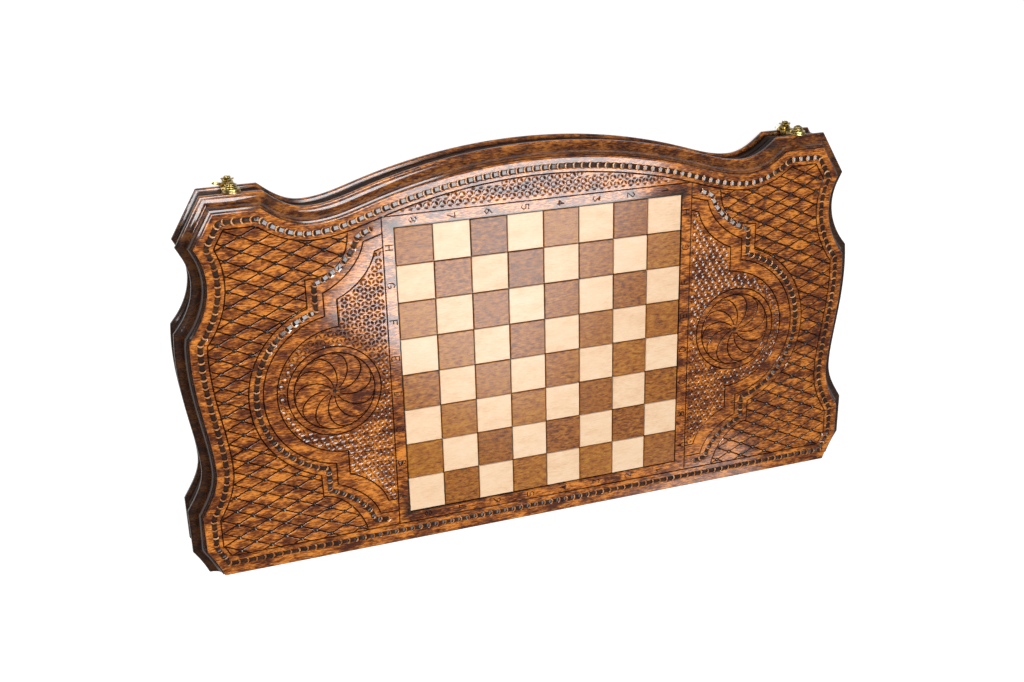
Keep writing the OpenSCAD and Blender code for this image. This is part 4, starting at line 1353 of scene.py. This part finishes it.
for side, sign in (("left", -1), ("right", 1)):
    matrix = on_ear(PLATE_Y, "front", sign, REACH_Z)
    put_in_place(side + "_post_turned", moved(turned("post", beehive()), matrix), cast_brass,
                 "front_half", "aged_brass", side + "_post")

# %% [markdown]
# The rivet of each hook ends in a small rose: two rings of cupped petals round a bud. One petal is
# a flattened ball, bent up at its rim. A tree of nodes puts five of them round each ring.

# %% Roses on the rivets
LIP_Y = 161.3
ROSE_FOOT = 3.4
# Each ring of petals: how far out and how high it is, in petals, its tilt, its turn and its size
PETAL_RINGS = ((0.72, 0.4, -14, 0, 1.0), (0.4, 0.62, -45, 36, 0.85))
BUD_HEIGHT = 0.75
PETAL_LENGTH, PETAL_SHAPE, BUD_R = 4.5, (1.0, 0.92, 0.24), 1.5
PETAL_CUP = 60.0  # how much a petal rises with the square of the distance from its middle


def rose_tree():
    """A rose on each point of a mesh."""
    tree, given = new_tree("rose", "Petal", "Cup", "Bud", "Count of petals")
    ball = {"Segments": 16, "Rings": 10}
    size = add(tree, "ShaderNodeVectorMath", {0: PETAL_SHAPE, "Scale": given["Petal"]},
               operation="SCALE")
    petal = add(tree, "GeometryNodeMeshUVSphere", ball | {"Radius": 0.5})
    petal = moved_shape(tree, petal, scale=size)
    place = add(tree, "GeometryNodeInputPosition")
    from_middle = add(tree, "ShaderNodeVectorMath", {0: place, 1: place}, operation="DOT_PRODUCT")
    lift = vector(tree, z=maths(tree, "MULTIPLY", from_middle.outputs["Value"], given["Cup"]))
    petal = add(tree, "GeometryNodeSetPosition", {"Geometry": petal, "Offset": lift})
    parts = []
    for out, up, tilt, turn, share in PETAL_RINGS:
        circle = add(tree, "GeometryNodeMeshCircle",
                     {"Vertices": given["Count of petals"], "Radius": 1.0})
        radius = maths(tree, "MULTIPLY", given["Petal"], out)
        height = vector(tree, z=maths(tree, "MULTIPLY", given["Petal"], up))
        circle = moved_shape(tree, circle, height, (0, 0, math.radians(turn)),
                             vector(tree, radius, radius, 1.0))
        flat = add(tree, "ShaderNodeVectorMath",
                   {0: add(tree, "GeometryNodeInputPosition"), 1: (1, 1, 0)}, operation="MULTIPLY")
        tilted = add(tree, "FunctionNodeRotateRotation",
                     {0: facing(tree, flat), 1: (0, math.radians(tilt), 0)}, rotation_space="LOCAL")
        parts.append(repeated(tree, circle, petal, tilted, (share, share, share)))
    height = vector(tree, z=maths(tree, "MULTIPLY", given["Petal"], BUD_HEIGHT))
    bud = add(tree, "GeometryNodeMeshUVSphere", ball | {"Radius": given["Bud"]})
    flower = joined(tree, *parts, moved_shape(tree, bud, height))
    return close_tree(tree, repeated(tree, given["Geometry"], flower), given["Material"])


rose = rose_tree()
stem = [(0, 0), (2.0, 0), (2.0, ROSE_FOOT), (4.1, ROSE_FOOT), (4.4, ROSE_FOOT + 0.3),
        (4.1, ROSE_FOOT + 0.7), (2.6, ROSE_FOOT + 1.1), (0, ROSE_FOOT + 1.4)]
for side, sign in (("left", -1), ("right", 1)):
    flower = made_by(rose, plain_mesh([(0, 0, ROSE_FOOT)]), **{
        "Material": cast_brass, "Petal": PETAL_LENGTH * MM, "Cup": PETAL_CUP, "Bud": BUD_R * MM,
        "Count of petals": 5})
    flower.shade_smooth()
    both = bmesh.new()
    both.from_mesh(turned("stem", stem))
    both.from_mesh(flower)
    mesh = bpy.data.meshes.new(side + "_rivet")
    both.to_mesh(mesh)
    both.free()
    matrix = on_ear(LIP_Y, "back", sign, REACH_Z)
    put_in_place(side + "_rose_rivet", moved(mesh, matrix), cast_brass, "back_half", "aged_brass",
                 side + "_hook_pivot")
